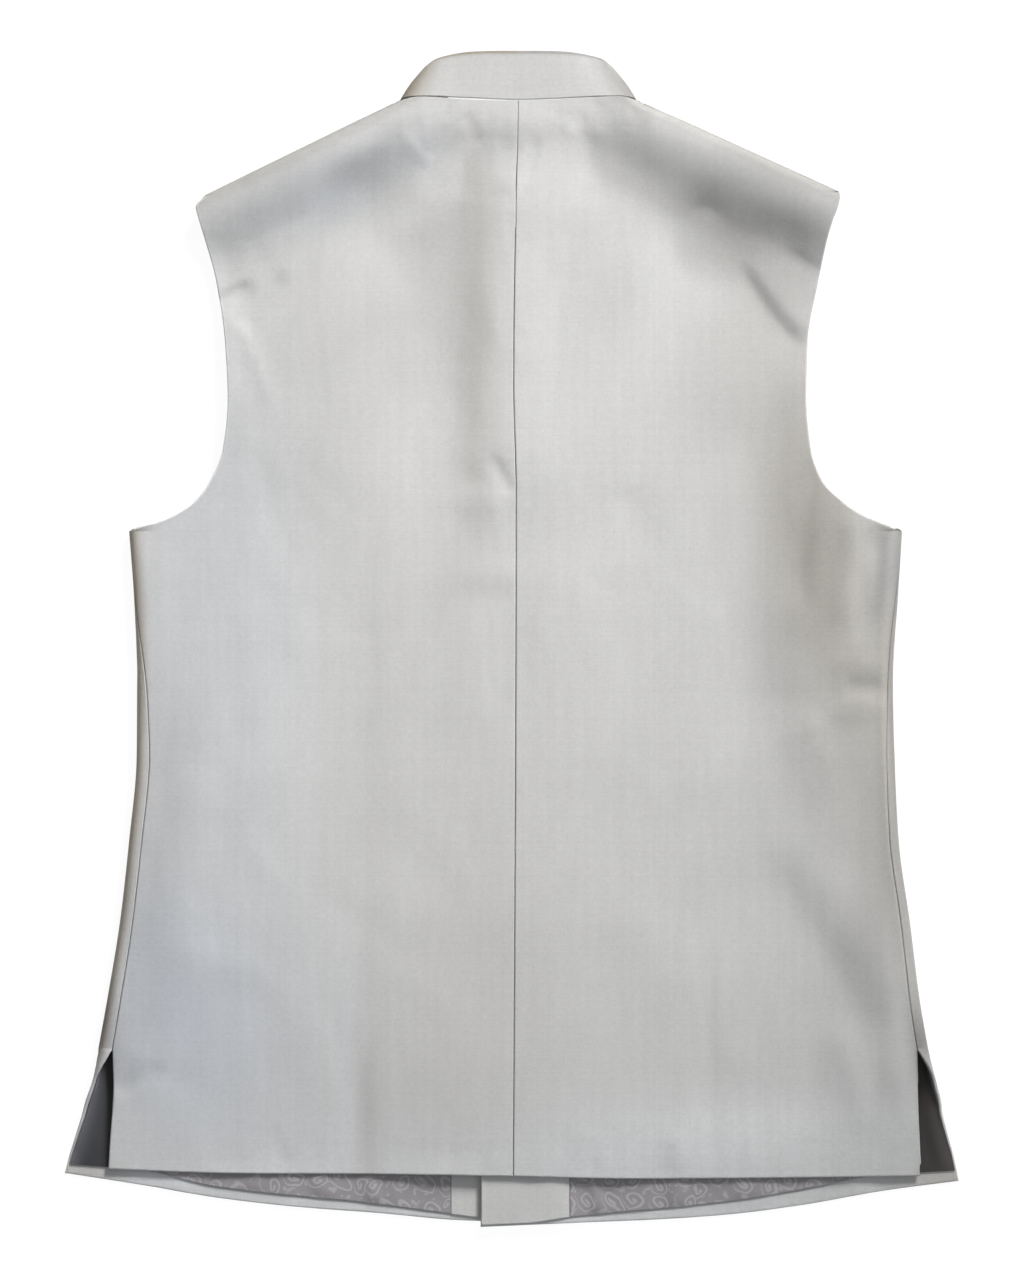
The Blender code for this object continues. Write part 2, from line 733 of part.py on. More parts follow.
def main():
    for thing in list(bpy.data.objects):
        bpy.data.objects.remove(thing)
    cloth = make_material("linen", CLOTH_COLOUR, CLOTH_ROUGHNESS)
    silk = make_material("patterned lining", LINING_COLOUR, LINING_ROUGHNESS)
    horn = make_material("horn", BUTTON_COLOUR, BUTTON_ROUGHNESS)
    make_panels(cloth, silk)
    collar = collar_grid()
    wall("collar", collar, moved(collar, normals_of(collar), COLLAR_WALL), cloth)
    make_buttons(horn)


main()
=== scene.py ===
"""The looks of a sleeveless waistcoat with a stand collar, laid flat with its back up.

Shapes are worked out in millimetres and turned into metres when a mesh is made. +X is the wearer's
right, +Y runs from hem to collar and +Z is up. Each piece of cloth is a closed thin shell with turned
edges. It follows one of the frame's solids, with finer creases, and replaces it.
"""

import math
from collections import namedtuple

import bpy
import numpy as np
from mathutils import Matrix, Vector

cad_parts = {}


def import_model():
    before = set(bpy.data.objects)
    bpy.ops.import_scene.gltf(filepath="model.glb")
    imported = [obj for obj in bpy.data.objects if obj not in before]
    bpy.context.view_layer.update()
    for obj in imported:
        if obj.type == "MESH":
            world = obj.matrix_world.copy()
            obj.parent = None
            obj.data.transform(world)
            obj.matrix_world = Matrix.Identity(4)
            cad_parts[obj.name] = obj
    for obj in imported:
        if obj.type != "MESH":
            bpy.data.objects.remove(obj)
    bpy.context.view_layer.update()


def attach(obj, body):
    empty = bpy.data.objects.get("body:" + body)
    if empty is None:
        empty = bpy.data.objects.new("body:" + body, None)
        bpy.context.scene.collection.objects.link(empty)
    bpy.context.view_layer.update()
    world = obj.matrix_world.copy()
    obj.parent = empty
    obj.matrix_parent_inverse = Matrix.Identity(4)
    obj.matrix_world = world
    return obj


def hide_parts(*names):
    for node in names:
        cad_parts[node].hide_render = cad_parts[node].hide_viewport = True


MM = 0.001
LEFT = -1
RIGHT = 1
SIDE_NAME = {LEFT: "left", RIGHT: "right"}


def make_table(kind, *rows):
    """A table whose columns have the names of this kind of row."""
    return [kind(*row) for row in rows]


# Cloth
WALL = 2.2
LINING = 0.9
FACING = 1.1
COLLAR_WALL = 2.4
SEAM_GAP = 0.3
LAID_GAP = 0.2

# Side fold: a round roll from the front, up the side and onto the back
SIDE_ROLL = 6.0
UNDERARM_Y = 73.0
VENT_TOP_Y = -276.0

# Shoulder fold: a straight slanting line from the neck to the armhole. It is pressed squarer than the side
SHOULDER_ROLL = 8.5
SIDE_SQUARE = 1.0
SHOULDER_SQUARE = 0.58
SHOULDER_NECK_Y = 362.5
SHOULDER_NECK_X = {LEFT: 78.1, RIGHT: 87.2}
SHOULDER_FALL = {LEFT: 0.489, RIGHT: 0.454}

# Neck: the front neckline is half an ellipse hung from the two side neck points
NECK_CENTRE = 4.5
NECK_HALF_WIDTH = 79.5
NECK_TOP_Y = 362.9
NECK_DEPTH = 85.0
NECK_TIP_Y = 361.5
NECK_BOTTOM_Y = NECK_TOP_Y - NECK_DEPTH
NECK_BEND_Y = 350.0

# Fronts: each runs past the centre to its edge, the left one outermost
FRONT_OVERLAP = 21.0
BUTTON_LIFT = 3.3
LIFT_FROM_Y = -238.0
LIFT_TO_Y = -195.0
PLACKET_FLAT = 24.0
PLACKET_SLOPE_END = 62.0
HEM_LAYERS = 4.0
PLACKET_LAYERS = 5.8
FACING_SEAM_X = {LEFT: 41.0, RIGHT: 38.6}
LINED_TO_Y = -240.0
LINING_EDGE_IN = {LEFT: 1.7, RIGHT: 1.0}
FACING_EDGE_IN = 0.6

# Half width of the outline from the ground up to the underarm
Side = namedtuple("Side", "y left right")
SIDES = make_table(
    Side,
    (-276, 279.0, 281.1), (-243, 273.0, 275.4), (-189, 264.2, 268.6), (-135, 258.2, 261.2),
    (-81, 253.4, 258.5), (-27, 252.8, 257.2), (27, 254.8, 260.5), (73, 258.2, 263.4),
)

# Back armhole edge, and how much further in the front one is cut
Armhole = namedtuple("Armhole", "y left right front_in")
ARMHOLES = make_table(
    Armhole,
    (73, 258.2, 263.4, 0.0), (75.8, 251.4, 255.0, 1.0), (79.2, 239.3, 247.0, 3.0),
    (84, 227.6, 236.0, 6.0), (94, 213.0, 221.4, 9.0), (108, 202.6, 208.4, 11.5), (128, 194.8, 201.6, 12.5),
    (162, 191.4, 198.5, 13.0), (202, 193.4, 199.8, 12.0), (243, 199.5, 207.2, 8.0),
    (270, 207.0, 212.8, 4.0), (283, 210.9, 216.7, 2.0), (292, 213.0, 220.1, 0.5), (298, 208.3, 221.4, 0.0),
)

# Side seam: how far along the cloth it lies past the outermost line of the fold, onto the back
Seam = namedtuple("Seam", "y left right")
SIDE_SEAMS = make_table(
    Seam,
    (-276, 12.7, 11.0), (-184, 12.1, 10.2), (-81, 12.5, 10.1), (-43, 10.9, 8.1), (-8, 7.4, 7.0),
    (11, 5.0, 6.3), (73, 0.0, 0.0),
)

# Side vents: the back's free edge, and the front's strip uncurling down to a flat corner
Vent = namedtuple("Vent", "y back_left back_right curl strip_left strip_right line_left line_right")
VENTS = make_table(
    Vent,
    (-276, 269.3, 273.5, 180, 22.1, 20.4, 273.0, 275.1),
    (-288, 269.0, 273.7, 130, 20.6, 19.0, 272.4, 275.4),
    (-300, 268.7, 274.0, 94, 18.0, 16.4, 272.0, 275.6),
    (-316, 269.4, 274.4, 38, 18.8, 16.2, 271.8, 275.4),
    (-334, 270.8, 275.2, 10, 22.7, 19.5, 271.8, 275.2),
    (-350, 271.8, 276.0, 0, 27.1, 23.6, 271.8, 275.0),
    (-353.4, 272.0, 276.2, 0, 27.9, 24.3, 271.8, 275.0),
    (-355.4, 272.1, 275.4, 0, 28.4, 24.7, 271.8, 275.0),
    (-366, 272.4, 275.3, 0, 31.0, 26.8, 271.8, 275.0),
)
LEAST_CURL = 1.0

# Hems: the height of each lower edge along its width. Rows near a hem are bent to follow it
Hem = namedtuple("Hem", "x y")
FRONT_HEMS = {
    LEFT: make_table(
        Hem,
        (-300, -360.6), (-244, -369.4), (-196, -377.5), (-142, -383.5), (-88, -387.6), (-35, -392.3),
        (21, -394.0),
    ),
    RIGHT: make_table(
        Hem,
        (-21, -396.6), (33, -394.3), (87, -392.3), (141, -388.9), (195, -382.2), (249, -372.7),
        (301, -365.8),
    ),
}
BACK_HEM = make_table(
    Hem,
    (-272, -357.5), (-184, -360.4), (-89, -360.9), (0, -362.0), (86, -364.0), (194, -363.2),
    (276, -362.0),
)
HEM_ROW_Y = -400.0
HEM_FROM_Y = -300.0
VENT_EDGE_X = 290.0

# How far a lining's or a facing's lower edge lies above the hem
Rise = namedtuple("Rise", "x rise")
LINING_RISES = {
    LEFT: make_table(Rise, (-300, 6.6), (-241, 10.0), (-200, 7.6), (-143, 7.6), (-66, 5.4), (-44, 4.6)),
    RIGHT: make_table(Rise, (38, 4.2), (86, 6.8), (172, 9.9), (228, 11.4), (299, 7.6)),
}
FACING_RISES = {
    LEFT: make_table(Rise, (-44, 4.4), (-22, 2.6), (21, 1.8)),
    RIGHT: make_table(Rise, (-21, 1.4), (12, 1.5), (24, 2.6), (38.6, 4.2)),
}
TURNED_HEM = 24.0

# Centre back seam and neck seam
Centre = namedtuple("Centre", "y x")
CENTRE_BACK = make_table(Centre, (-366, 1.0), (0, 2.7), (97, 2.9), (175, 1.2), (366, 4.2))
Neck = namedtuple("Neck", "x y")
NECK_SEAM = make_table(
    Neck,
    (-78, 362.6), (-62, 365.8), (-21, 363.6), (4, 363.2), (32, 364.3), (72, 366.0), (88, 362.4),
)

# Height of the back's outer face along its middle and at its outer edges
Level = namedtuple("Level", "y middle outer")
LEVELS = make_table(
    Level,
    (-366, 10.9, 10.4), (-320, 11.5, 11.0), (-276, 12.2, 12.0), (73, 12.4, 12.0), (100, 12.5, 11.6),
    (180, 12.5, 11.8), (265, 13.4, 12.6), (300, 14.8, 14.4), (335, 15.2, 16.0), (366, 14.2, 15.6),
)
LEVEL_BLEND_FROM = 0.5
LEVEL_BLEND_TO = 0.95

# Creases of the back. Each runs along a line that bows to its left, is as wide as left and right
# on the two sides of that line, and is a ridge (height over 0) or a trough
Crease = namedtuple("Crease", "name x0 y0 x1 y1 bow left right height")
CREASES = make_table(
    Crease,
    ("right shoulder shelf", 74, 355, 226, 292, 0, 30, 27, 3.8),
    ("right shoulder hollow by the neck", 52, 330, 132, 276, 3, 21, 34, -4.4),
    ("right shoulder hollow", 116, 292, 222, 238, 0, 27, 60, -4.6),
    ("left shoulder shelf", -64, 356, -212, 287, 0, 28, 30, 2.4),
    ("left shoulder hollow", -84, 308, -214, 248, 0, 62, 22, -5.4),
    ("left shoulder hollow by the neck", -30, 333, -126, 300, -3, 30, 16, -2.6),
    ("hollow under the collar", -30, 333, 58, 332, 0, 13, 20, -1.6),
    ("left shoulder dimple", -71, 337, -56, 320, 0, 4, 4.5, 0.5),
    ("left neck dash", -30, 353, -22, 334, 0, 5, 6, -0.6),
    ("right neck smear", 46, 355, 53, 313, 2, 7, 8, -0.7),
    ("smear beside the neck's middle", 17, 336, 7, 304, 1, 4, 5, -0.8),
    ("left neck smear", -30, 338, -34, 300, 0, 8, 6, -0.5),
    ("ridge beside the centre seam", -13, 345, -7, 96, 4, 36, 33, 5.0),
    ("pinch at the centre seam", -13, 122, 0, 100, 0, 4.5, 5.5, -0.8),
    ("ridge below the pinch", -20, 100, -14, 36, 2, 14, 22, 1.3),
    ("flank below the pinch", -30, 60, -24, -60, 0, 12, 22, 0.8),
    ("slope of the right shoulder", 110, 264, 216, 206, 0, 44, 76, -6.2),
    ("soft fold below the right armhole crease", 142, 230, 180, 160, 6, 24, 34, 0.7),
    ("right flank", 240, 130, 246, -110, -4, 40, 48, 5.0),
    ("hollow of the right flank", 172, 158, 166, -70, -8, 26, 42, -3.0),
    ("armhole corner hollow", 204, 116, 194, 30, -3, 9, 14, -1.6),
    ("side dent", 247, 70, 236, 4, 2, 7, 8, -1.8),
    ("ridge by the side dent", 230, 84, 223, 14, 0, 7, 8, 1.2),
    ("right waist pinch", 226, -32, 264, -34, 0, 5.5, 8, -1.2),
    ("ridge above the pinch", 216, -15, 252, -19, 2, 6, 8, 0.5),
    ("below the pinch", 212, -46, 250, -39, -2, 7, 10, 0.5),
    ("right waist slant", 196, -50, 218, -140, 4, 16, 22, 1.4),
    ("lower right ridge", 186, -132, 262, -246, 4, 20, 20, 1.5),
    ("lower right hollow", 166, -156, 238, -262, 4, 18, 40, -1.3),
    ("short dent over the right vent", 240, -250, 244, -300, 0, 8, 10, -0.5),
    ("ridge over the right vent", 256, -238, 259, -306, 0, 7, 8, 0.3),
    ("right vent fold", 218, -262, 236, -330, 3, 12, 12, 0.9),
    ("right skirt edge", 250, -120, 262, -340, 0, 16, 34, 2.0),
    ("lower left ridge", -210, -206, -258, -290, -4, 16, 22, 1.5),
    ("lower left hollow", -182, -226, -228, -306, -4, 30, 16, -1.2),
    ("left hip ridge", -214, -96, -240, -200, 2, 16, 18, 1.1),
    ("left hip hollow", -196, -120, -214, -180, 0, 14, 9, -0.5),
    ("dent over the left vent", -236, -290, -264, -305, 0, 6, 8, -0.8),
    ("left side fullness", -240, 60, -244, -60, 0, 12, 14, 0.8),
    ("left press line", -100, 60, -106, -420, 0, 13, 48, -0.9),
    ("right press line", 131, -206, 137, -368, 0, 6, 9, -0.5),
    ("short press line by the right hem", 112, -330, 118, -366, 0, 8, 6, 0.5),
    ("right breast sweep", 92, 262, 150, 150, 10, 26, 36, 1.2),
    ("left breast sweep", -90, 250, -146, 110, -12, 34, 28, 1.2),
    ("left blade", -130, 190, -150, 20, -6, 22, 26, -0.9),
    ("blade dent", 74, 100, 92, 62, 3, 12, 14, -0.7),
    ("middle sweep", 30, 60, 66, -90, 8, 26, 40, 1.1),
    ("left loin sweep", -150, 60, -176, -110, 8, 34, 26, 1.0),
    ("seat sweep", 60, -180, 130, -250, 8, 26, 22, 0.9),
    ("left seat sweep", -70, -170, -150, -270, -10, 24, 32, 0.8),
    ("middle of the seat", -20, -200, 8, -350, 4, 30, 34, -0.9),
    ("left hem lies low", -58, -378, -352, -378, 0, 60, 104, -4.8),
    ("right hem lies low", 58, -378, 352, -378, 0, 104, 60, -4.6),
)
# Small sharp creases, on top of the back's low places too
SHARP_CREASES = make_table(
    Crease,
    ("left armhole pinch", -213, 222, -178, 239, 0, 3.0, 10, -1.5),
    ("left armhole slant", -182, 212, -157, 245, 0, 4.5, 11, -0.9),
    ("right armhole crease", 156, 249, 192, 200, -2, 3.2, 11, -1.1),
    ("ridge beside it", 166, 252, 200, 207, -2, 14, 5, 1.2),
    ("right armhole dent", 188, 262, 214, 244, 0, 3.2, 9, -0.9),
)
CREASE_SOFT_END = 0.34
PROFILE_STEPS = 400
GRADING_STEPS = 1200
# The back's outer face stays over this height, clear of the fronts under it
LEAST_HEIGHT = 5.4
LEAST_SOFT = 0.6
CREASE_EDGE_FROM = 2.0
CREASE_EDGE_TO = 9.0
VENT_EDGE_OVER = 30.0

# Creases of the fronts, whose troughs rest on the ground
FRONT_CREASES = make_table(
    Crease,
    ("left breast", -196, 206, -118, 148, 6, 9, 13, 1.2),
    ("left waist", -226, 74, -140, 22, -6, 11, 14, 1.5),
    ("left pull", -238, -34, -150, -70, 4, 8, 12, 1.2),
    ("left skirt", -204, -146, -122, -226, 6, 12, 10, 1.3),
    ("left belly", -150, 112, -66, 58, -5, 13, 10, 1.0),
    ("left vent", -242, -196, -194, -292, 4, 9, 12, 1.2),
    ("left hem near the vent", -226, -368, -216, -318, 0, 8, 10, 0.8),
    ("left hem", -152, -386, -146, -330, 3, 10, 8, 0.7),
    ("left hem by the facing", -84, -390, -80, -336, -2, 8, 9, 0.6),
    ("right breast", 186, 196, 124, 132, -5, 12, 9, 1.1),
    ("right waist", 232, 52, 136, 10, 6, 12, 10, 1.4),
    ("right pull", 236, -58, 160, -112, -4, 9, 12, 1.2),
    ("right skirt", 216, -166, 128, -236, 5, 10, 13, 1.3),
    ("right belly", 140, 96, 72, 30, 5, 10, 12, 0.9),
    ("right hem near the vent", 236, -376, 226, -322, 0, 9, 8, 0.8),
    ("right hem", 168, -390, 162, -336, -3, 9, 11, 0.7),
    ("right hem by the facing", 96, -394, 90, -340, 2, 8, 8, 0.6),
)

# Creases of the loose lining, near the hem
LINING_CREASES = make_table(
    Crease,
    ("dark fold by the right facing", 52, -352, 62, -394, 0, 3.5, 5, 1.5),
    ("right lining wave", 104, -350, 112, -392, 2, 7, 6, 0.9),
    ("second right lining wave", 152, -346, 156, -386, 0, 9, 7, 0.7),
    ("third right lining wave", 206, -344, 214, -378, -2, 7, 9, 0.8),
    ("left lining fold", -98, -352, -90, -386, 0, 4, 6, 1.2),
    ("left lining wave", -136, -350, -128, -384, 2, 6, 5, 0.9),
    ("second left lining wave", -170, -346, -176, -380, 0, 6, 8, 0.7),
    ("left vent lining fold", -276, -296, -290, -352, 2, 3.5, 5, 0.9),
    ("right vent lining fold", 280, -300, 290, -352, -2, 4, 4, 0.9),
)


RIPPLE_BOW = 0.2


def scattered(seed, count, x, y, turn, spread, length, width, height):
    """Many small creases at uneven places, most of them near one direction. Each range is (low, high)."""
    random = np.random.default_rng(seed)
    creases = []
    for _ in range(count):
        middle_x, middle_y = random.uniform(*x), random.uniform(*y)
        angle = math.radians(random.normal(turn, spread))
        half = random.uniform(*length) / 2
        along_x, along_y = half * math.cos(angle), half * math.sin(angle)
        left, right = random.uniform(*width, size=2)
        bow = random.uniform(-RIPPLE_BOW, RIPPLE_BOW) * half
        rise = random.uniform(*height) * random.choice((-1, 1))
        ends = (middle_x - along_x, middle_y - along_y, middle_x + along_x, middle_y + along_y)
        creases.append(Crease("ripple", *ends, bow, left, right, rise))
    return creases


RIPPLES = (
    scattered(3, 170, (-265, 265), (-366, 350), 88, 30, (26, 95), (5, 14), (0.08, 0.30))
    + scattered(4, 64, (-10, 14), (-362, 360), 0, 14, (7, 17), (3.2, 5), (0.06, 0.17))
    + scattered(5, 30, (-76, 86), (345, 362), 86, 20, (8, 19), (3.4, 6), (0.08, 0.24))
    + scattered(6, 30, (-270, 274), (-364, -342), 90, 14, (14, 42), (5, 11), (0.1, 0.4))
)
FRONT_RIPPLES = scattered(8, 60, (-255, 255), (-380, 200), 80, 40, (30, 110), (6, 14), (0.1, 0.5))
FRONT_RIPPLES = [crease._replace(height=abs(crease.height)) for crease in FRONT_RIPPLES]
PLACKET_CLEAR_FROM = 30.0
PLACKET_CLEAR_TO = 52.0

# Painted light and shade on the cloth: soft patches that are darker and warmer (over 0) or lighter and
# cooler
Patch = namedtuple("Patch", "name x y wide tall turn darker warmer")
PAINTED_SHADING_PATCHES = make_table(
    Patch,
    ("right flank", 198, 68, 28, 90, 4, 0.26, 1.5),
    ("right side", 238, -20, 34, 130, 2, 0.15, 1.0),
    ("left of the centre ridge", -25, 212, 13, 122, 0, 0.13, 0.6),
    ("right shoulder", 150, 266, 60, 29, -26, 0.23, 0.1),
    ("right armhole", 160, 200, 42, 82, -8, 0.14, 0.2),
    ("left shoulder", -126, 304, 80, 18, 26, 0.07, -0.9),
    ("lower left", -215, -262, 78, 96, 0, 0.02, -1.7),
    ("seat", -28, -262, 46, 110, 0, 0.055, 0.2),
    ("top of the centre seam", -3, 334, 22, 20, 0, 0.21, -0.1),
    ("left hip", -240, -205, 28, 78, 4, 0.14, -0.5),
    ("under the right armhole", 252, 44, 13, 34, -17, 0.09, -0.8),
    ("left of the neck", -62, 325, 17, 10, 20, 0.14, -0.6),
    ("right of the neck", 70, 314, 30, 16, -14, 0.14, 0.0),
    ("along the right shoulder", 128, 286, 54, 11, -24, 0.19, 0.1),
    ("right armhole edge", 200, 263, 14, 22, 0, 0.12, 0.0),
    ("pale slope of the right shoulder", 139, 238, 28, 15, -20, -0.12, 0.0),
    ("pale slope of the left shoulder", -73, 284, 17, 13, 20, -0.14, 0.0),
    ("pale right hem", 160, -328, 90, 26, 0, -0.20, 0.0),
    ("pale left hem", -48, -358, 34, 10, 0, -0.12, 0.0),
    ("left hem band", -240, -364, 40, 4, -3, -0.24, -0.6),
    ("left of the press line", -112, -290, 8, 70, 0, -0.05, -0.4),
    ("right of the press line", -97, -318, 8, 56, 0, 0.11, 0.3),
    ("outer half of the right shoulder", 182, 283, 30, 10, -24, 0.16, 0.0),
    ("pale top of the left shoulder", -106, 332, 34, 8, 26, -0.16, 0.0),
    ("left side below the waist", -228, -90, 18, 56, 0, 0.10, 0.0),
    ("right side below the waist", 246, -190, 15, 62, 0, 0.14, 0.2),
    ("left strip above the vent", -277, -262, 11, 38, 0, 0.36, 0.0),
    ("right strip above the vent", 279, -278, 9, 28, 0, 0.28, 0.0),
    ("left hem corner", -286, -362, 22, 9, 0, 0.24, 0.8),
    ("right hem corner", 290, -366, 22, 9, 0, 0.16, 1.4),
    ("beside the left seam", -236, -20, 10, 50, 0, 0.045, -0.2),
    ("pale front of the right shoulder", 204, 297, 14, 6, -24, -0.07, 0.0),
    ("end of the left shoulder", -206, 290, 20, 14, 26, -0.10, 0.0),
    ("left of the collar", -77, 343, 10, 8, 26, 0.16, 0.0),
    ("left shoulder by the armhole", -184, 265, 16, 11, 26, 0.12, 0.0),
    ("pale hem on the left", -172, -360, 50, 9, 0, -0.10, 0.0),
    ("inner right flank", 172, -8, 15, 34, 0, 0.045, 0.0),
    ("right side at the waist", 227, -42, 12, 20, 0, 0.05, 0.0),
    ("right side over the vent", 228, -212, 14, 30, 0, 0.05, 0.0),
    ("beside the right vent", 254, -302, 11, 13, 0, 0.09, 0.0),
    ("pale left", -160, -50, 30, 90, 0, -0.055, 0.0),
    ("pale middle", 46, -60, 40, 130, 0, -0.05, 0.0),
    ("pale lower right", 120, -240, 74, 120, 0, -0.06, 0.0),
    ("below the left shoulder", -112, 294, 28, 14, 26, 0.17, -0.6),
    ("left side", -196, 10, 56, 170, 0, 0.0, -1.0),
    ("along the hem", 60, -350, 260, 36, 0, -0.02, -0.5),
    ("front hems", 0, -388, 320, 10, 0, -0.06, -0.5),
    ("pale upper left", -62, 120, 36, 62, 0, -0.11, 0.0),
    ("pale right breast", 70, 150, 60, 130, 0, -0.035, 0.0),
)

# Painted shade: the turned rims of the sides, shoulders and collar are made darker and warmer where they
# roll down, the back's vent edges darker, and its armhole edge on the left paler as a painted highlight
RIM_DARKER = {LEFT: 0.33, RIGHT: 0.37}
RIM_WARMER = {LEFT: 4.8, RIGHT: 0.8}
RIM_WIDE = {LEFT: 14.5, RIGHT: 23.0}
RIM_FADE_FROM = -312.0
RIM_FADE_OVER = 52.0
SHOULDER_RIM_DARKER = {LEFT: 0.30, RIGHT: 0.40}
SHOULDER_RIM_WARMER = 1.2
SHOULDER_RIM_WIDE = 29.0
SHOULDER_FOLD_DARKER = 0.34
SHOULDER_FOLD_WIDE = 25.0
EDGE_PALER = {LEFT: 0.45, RIGHT: 0.0}
EDGE_PALE_WIDTH = 1.4
VENT_EDGE_DARKER = {LEFT: 0.0, RIGHT: 0.30}
COLLAR_RIM_WIDE = 3.0
COLLAR_DARKER = {LEFT: 0.66, RIGHT: 0.58}

# Stand collar, from centre back round to centre front: its seam and its top edge
Band = namedtuple("Band", "place base_out base_y base_z top_out top_y top_z")
COLLAR_SEAM_IN = 1.0
COLLAR_SEAM_UP = -0.05
COLLAR_BOW = 1.6
COLLAR_BANDS = make_table(
    Band,
    ("centre back", 0.0, 363.6, 14.5, 0.0, 396.6, 14.8),
    ("back", 36.0, 364.9, 14.8, 32.5, 396.0, 14.6),
    ("back corner", 60.0, 366.1, 15.0, 52.6, 392.6, 12.6),
    ("upper roll", 74.0, 365.6, 13.2, 60.4, 388.6, 9.0),
    ("side", 80.0, 363.4, 8.2, 62.8, 384.4, 6.0),
    ("under roll", 79.4, 358.0, 3.4, 54.0, 376.0, 2.4),
    ("front side", 76.6, 343.0, 0.8, 43.0, 357.0, 1.0),
    ("front", 66.6, 317.0, 0.5, 37.0, 335.0, 0.6),
    ("front corner", 38.0, 289.0, 0.8, 22.0, 317.0, 0.8),
    ("front end", 6.0, 279.2, 0.6, 6.0, 311.0, 0.6),
)
COLLAR_END_RISE = {LEFT: 3.0, RIGHT: 5.5}
COLLAR_SIDE_PLACE = 4.0
COLLAR_BOW_SPREAD = 2.0
COLLAR_RIM_PLACE = 3.7
COLLAR_RIM_SPREAD = 2.1
COLLAR_RISE_PLACE = 7.0
COLLAR_FULL = {LEFT: 0.0, RIGHT: 3.6}
COLLAR_FULL_PLACE = 3.0
COLLAR_FULL_SPREAD = 1.4

# Mesh spacing: the most of each step, the first one at an edge, and how fast steps grow away from it
BACK_STEP = 2.5
FRONT_STEP = 3.8
LAID_STEP = 2.4
FIRST_STEP = 0.07
GROWTH = 0.42
EDGE_SLANT_MOST = 3.5
EVEN_OVER = 4.0
CORNER_REACH = 34.0
BACK_COLUMNS = 122
FRONT_COLUMNS = 98
LINING_COLUMNS = 110
FACING_COLUMNS = 40
# Where the armhole's corner ends, where it turns upwards, and where the shoulder's corner starts and ends
CORNER_Y = 100.0
UPRIGHT_Y = 130.0
SHOULDER_FROM_Y = 268.0
SHOULDER_TO_Y = 302.0

# Edges: the rounding of a turned edge, and the groove that a seam makes
TURN = 0.95
SEAM_DEPTH = 0.70
SIDE_SEAM_DEPTH = 0.45
SEAM_WIDTH = 0.7
PUFF_AT = 3.4
PUFF_WIDTH = 2.2
SEAM_PUFF = 0.22
STRIP_PUFF = 0.40
# Painted shade along a seam's groove: how much darker it is made, and how wide
SEAM_DARKER = 0.10
SEAM_DARK_WIDTH = 1.1
COLLAR_TURN = 1.15
COLLAR_PUFF = 0.45
LAID_TURN = 0.42


def smooth(value):
    """0 below 0, 1 above 1 and a soft step between."""
    value = np.clip(value, 0.0, 1.0)
    return value * value * (3.0 - 2.0 * value)


def between(value, start, end):
    """0 up to start, 1 past end and a soft step between."""
    return smooth((value - start) / (end - start))


def read(table, column, at):
    """Reads one named column of a table on a smooth curve, at places along its first column."""
    rows = sorted(table)
    keys = np.array([row[0] for row in rows], float)
    values = np.array([getattr(row, column) for row in rows], float)
    span = np.diff(keys)
    slope = np.diff(values) / span
    before = np.concatenate([slope[:1], slope])
    after = np.concatenate([slope, slope[-1:]])
    steady = before * after > 0
    tangent = np.where(steady, 2.0 * before * after / np.where(steady, before + after, 1.0), 0.0)
    at = np.clip(at, keys[0], keys[-1])
    i = np.clip(np.searchsorted(keys, at, side="right") - 1, 0, len(keys) - 2)
    share = (at - keys[i]) / span[i]
    return (
        values[i] * (1 + 2 * share) * (1 - share) ** 2
        + span[i] * tangent[i] * share * (1 - share) ** 2
        + values[i + 1] * share**2 * (3 - 2 * share)
        + span[i] * tangent[i + 1] * share**2 * (share - 1)
    )


def side_line(side, y):
    """Half width of the side's outermost line."""
    return read(SIDES, SIDE_NAME[side], y)


def shoulder_line(side, y):
    """Half width of the shoulder's fold line, drawn on past both its ends."""
    return SHOULDER_NECK_X[side] + (SHOULDER_NECK_Y - y) / SHOULDER_FALL[side]


def fold_line(side, y):
    """Half width of the outermost line of the fold: the side's below, the shoulder's above."""
    return np.minimum(side_line(side, y), shoulder_line(side, y))


def roll(side, y):
    """Width of the rounded part of the fold, along X."""
    fall = SHOULDER_FALL[side]
    slanted = SHOULDER_ROLL * math.sqrt(1 + fall * fall) / fall
    return np.where(shoulder_line(side, y) < side_line(side, y), slanted, SIDE_ROLL)


def crease_height(crease, x, y):
    """What one crease adds: a rounded ridge or trough along its bowed line, soft at both ends."""
    along_x = crease.x1 - crease.x0
    along_y = crease.y1 - crease.y0
    length = math.hypot(along_x, along_y)
    share = ((x - crease.x0) * along_x + (y - crease.y0) * along_y) / length**2
    across = ((y - crease.y0) * along_x - (x - crease.x0) * along_y) / length
    across = across - 4 * crease.bow * share * (1 - share)
    ends = smooth(share / CREASE_SOFT_END + 0.5) * smooth((1 - share) / CREASE_SOFT_END + 0.5)
    width = np.where(across > 0, crease.left, crease.right)
    return crease.height * ends * np.exp(-((across / width) ** 2))


def creased(creases, x, y):
    """What all the creases of one table add."""
    return sum(crease_height(crease, x, y) for crease in creases)


def painted_rim_shade(to_rim, darker, warmer):
    """Painted shade on a cloth's turned edges: a little darker and warmer there. to_rim runs from 0 to 1
    over the rim.
    """
    share = 1 - smooth(to_rim)
    return np.stack([share * darker, share * warmer], axis=-1)


def painted_fold_shade(side, y, u):
    """Painted shade on the fold between a front and a back, at the sides and shoulders, which fades out
    beside the vents.
    """
    to_fold = np.abs(cloth_fold(side, y)[:, None] - u)
    above_vent = smooth((y - RIM_FADE_FROM) / RIM_FADE_OVER)[:, None, None]
    at_side = above_vent * painted_rim_shade(to_fold / RIM_WIDE[side], RIM_DARKER[side], RIM_WARMER[side])
    at_shoulder = painted_rim_shade(to_fold / SHOULDER_RIM_WIDE, SHOULDER_RIM_DARKER[side], SHOULDER_RIM_WARMER)
    at_shoulder = at_shoulder + painted_rim_shade(to_fold / SHOULDER_FOLD_WIDE, SHOULDER_FOLD_DARKER, 0.0)
    return np.where((y > UNDERARM_Y)[:, None, None], at_shoulder, at_side)


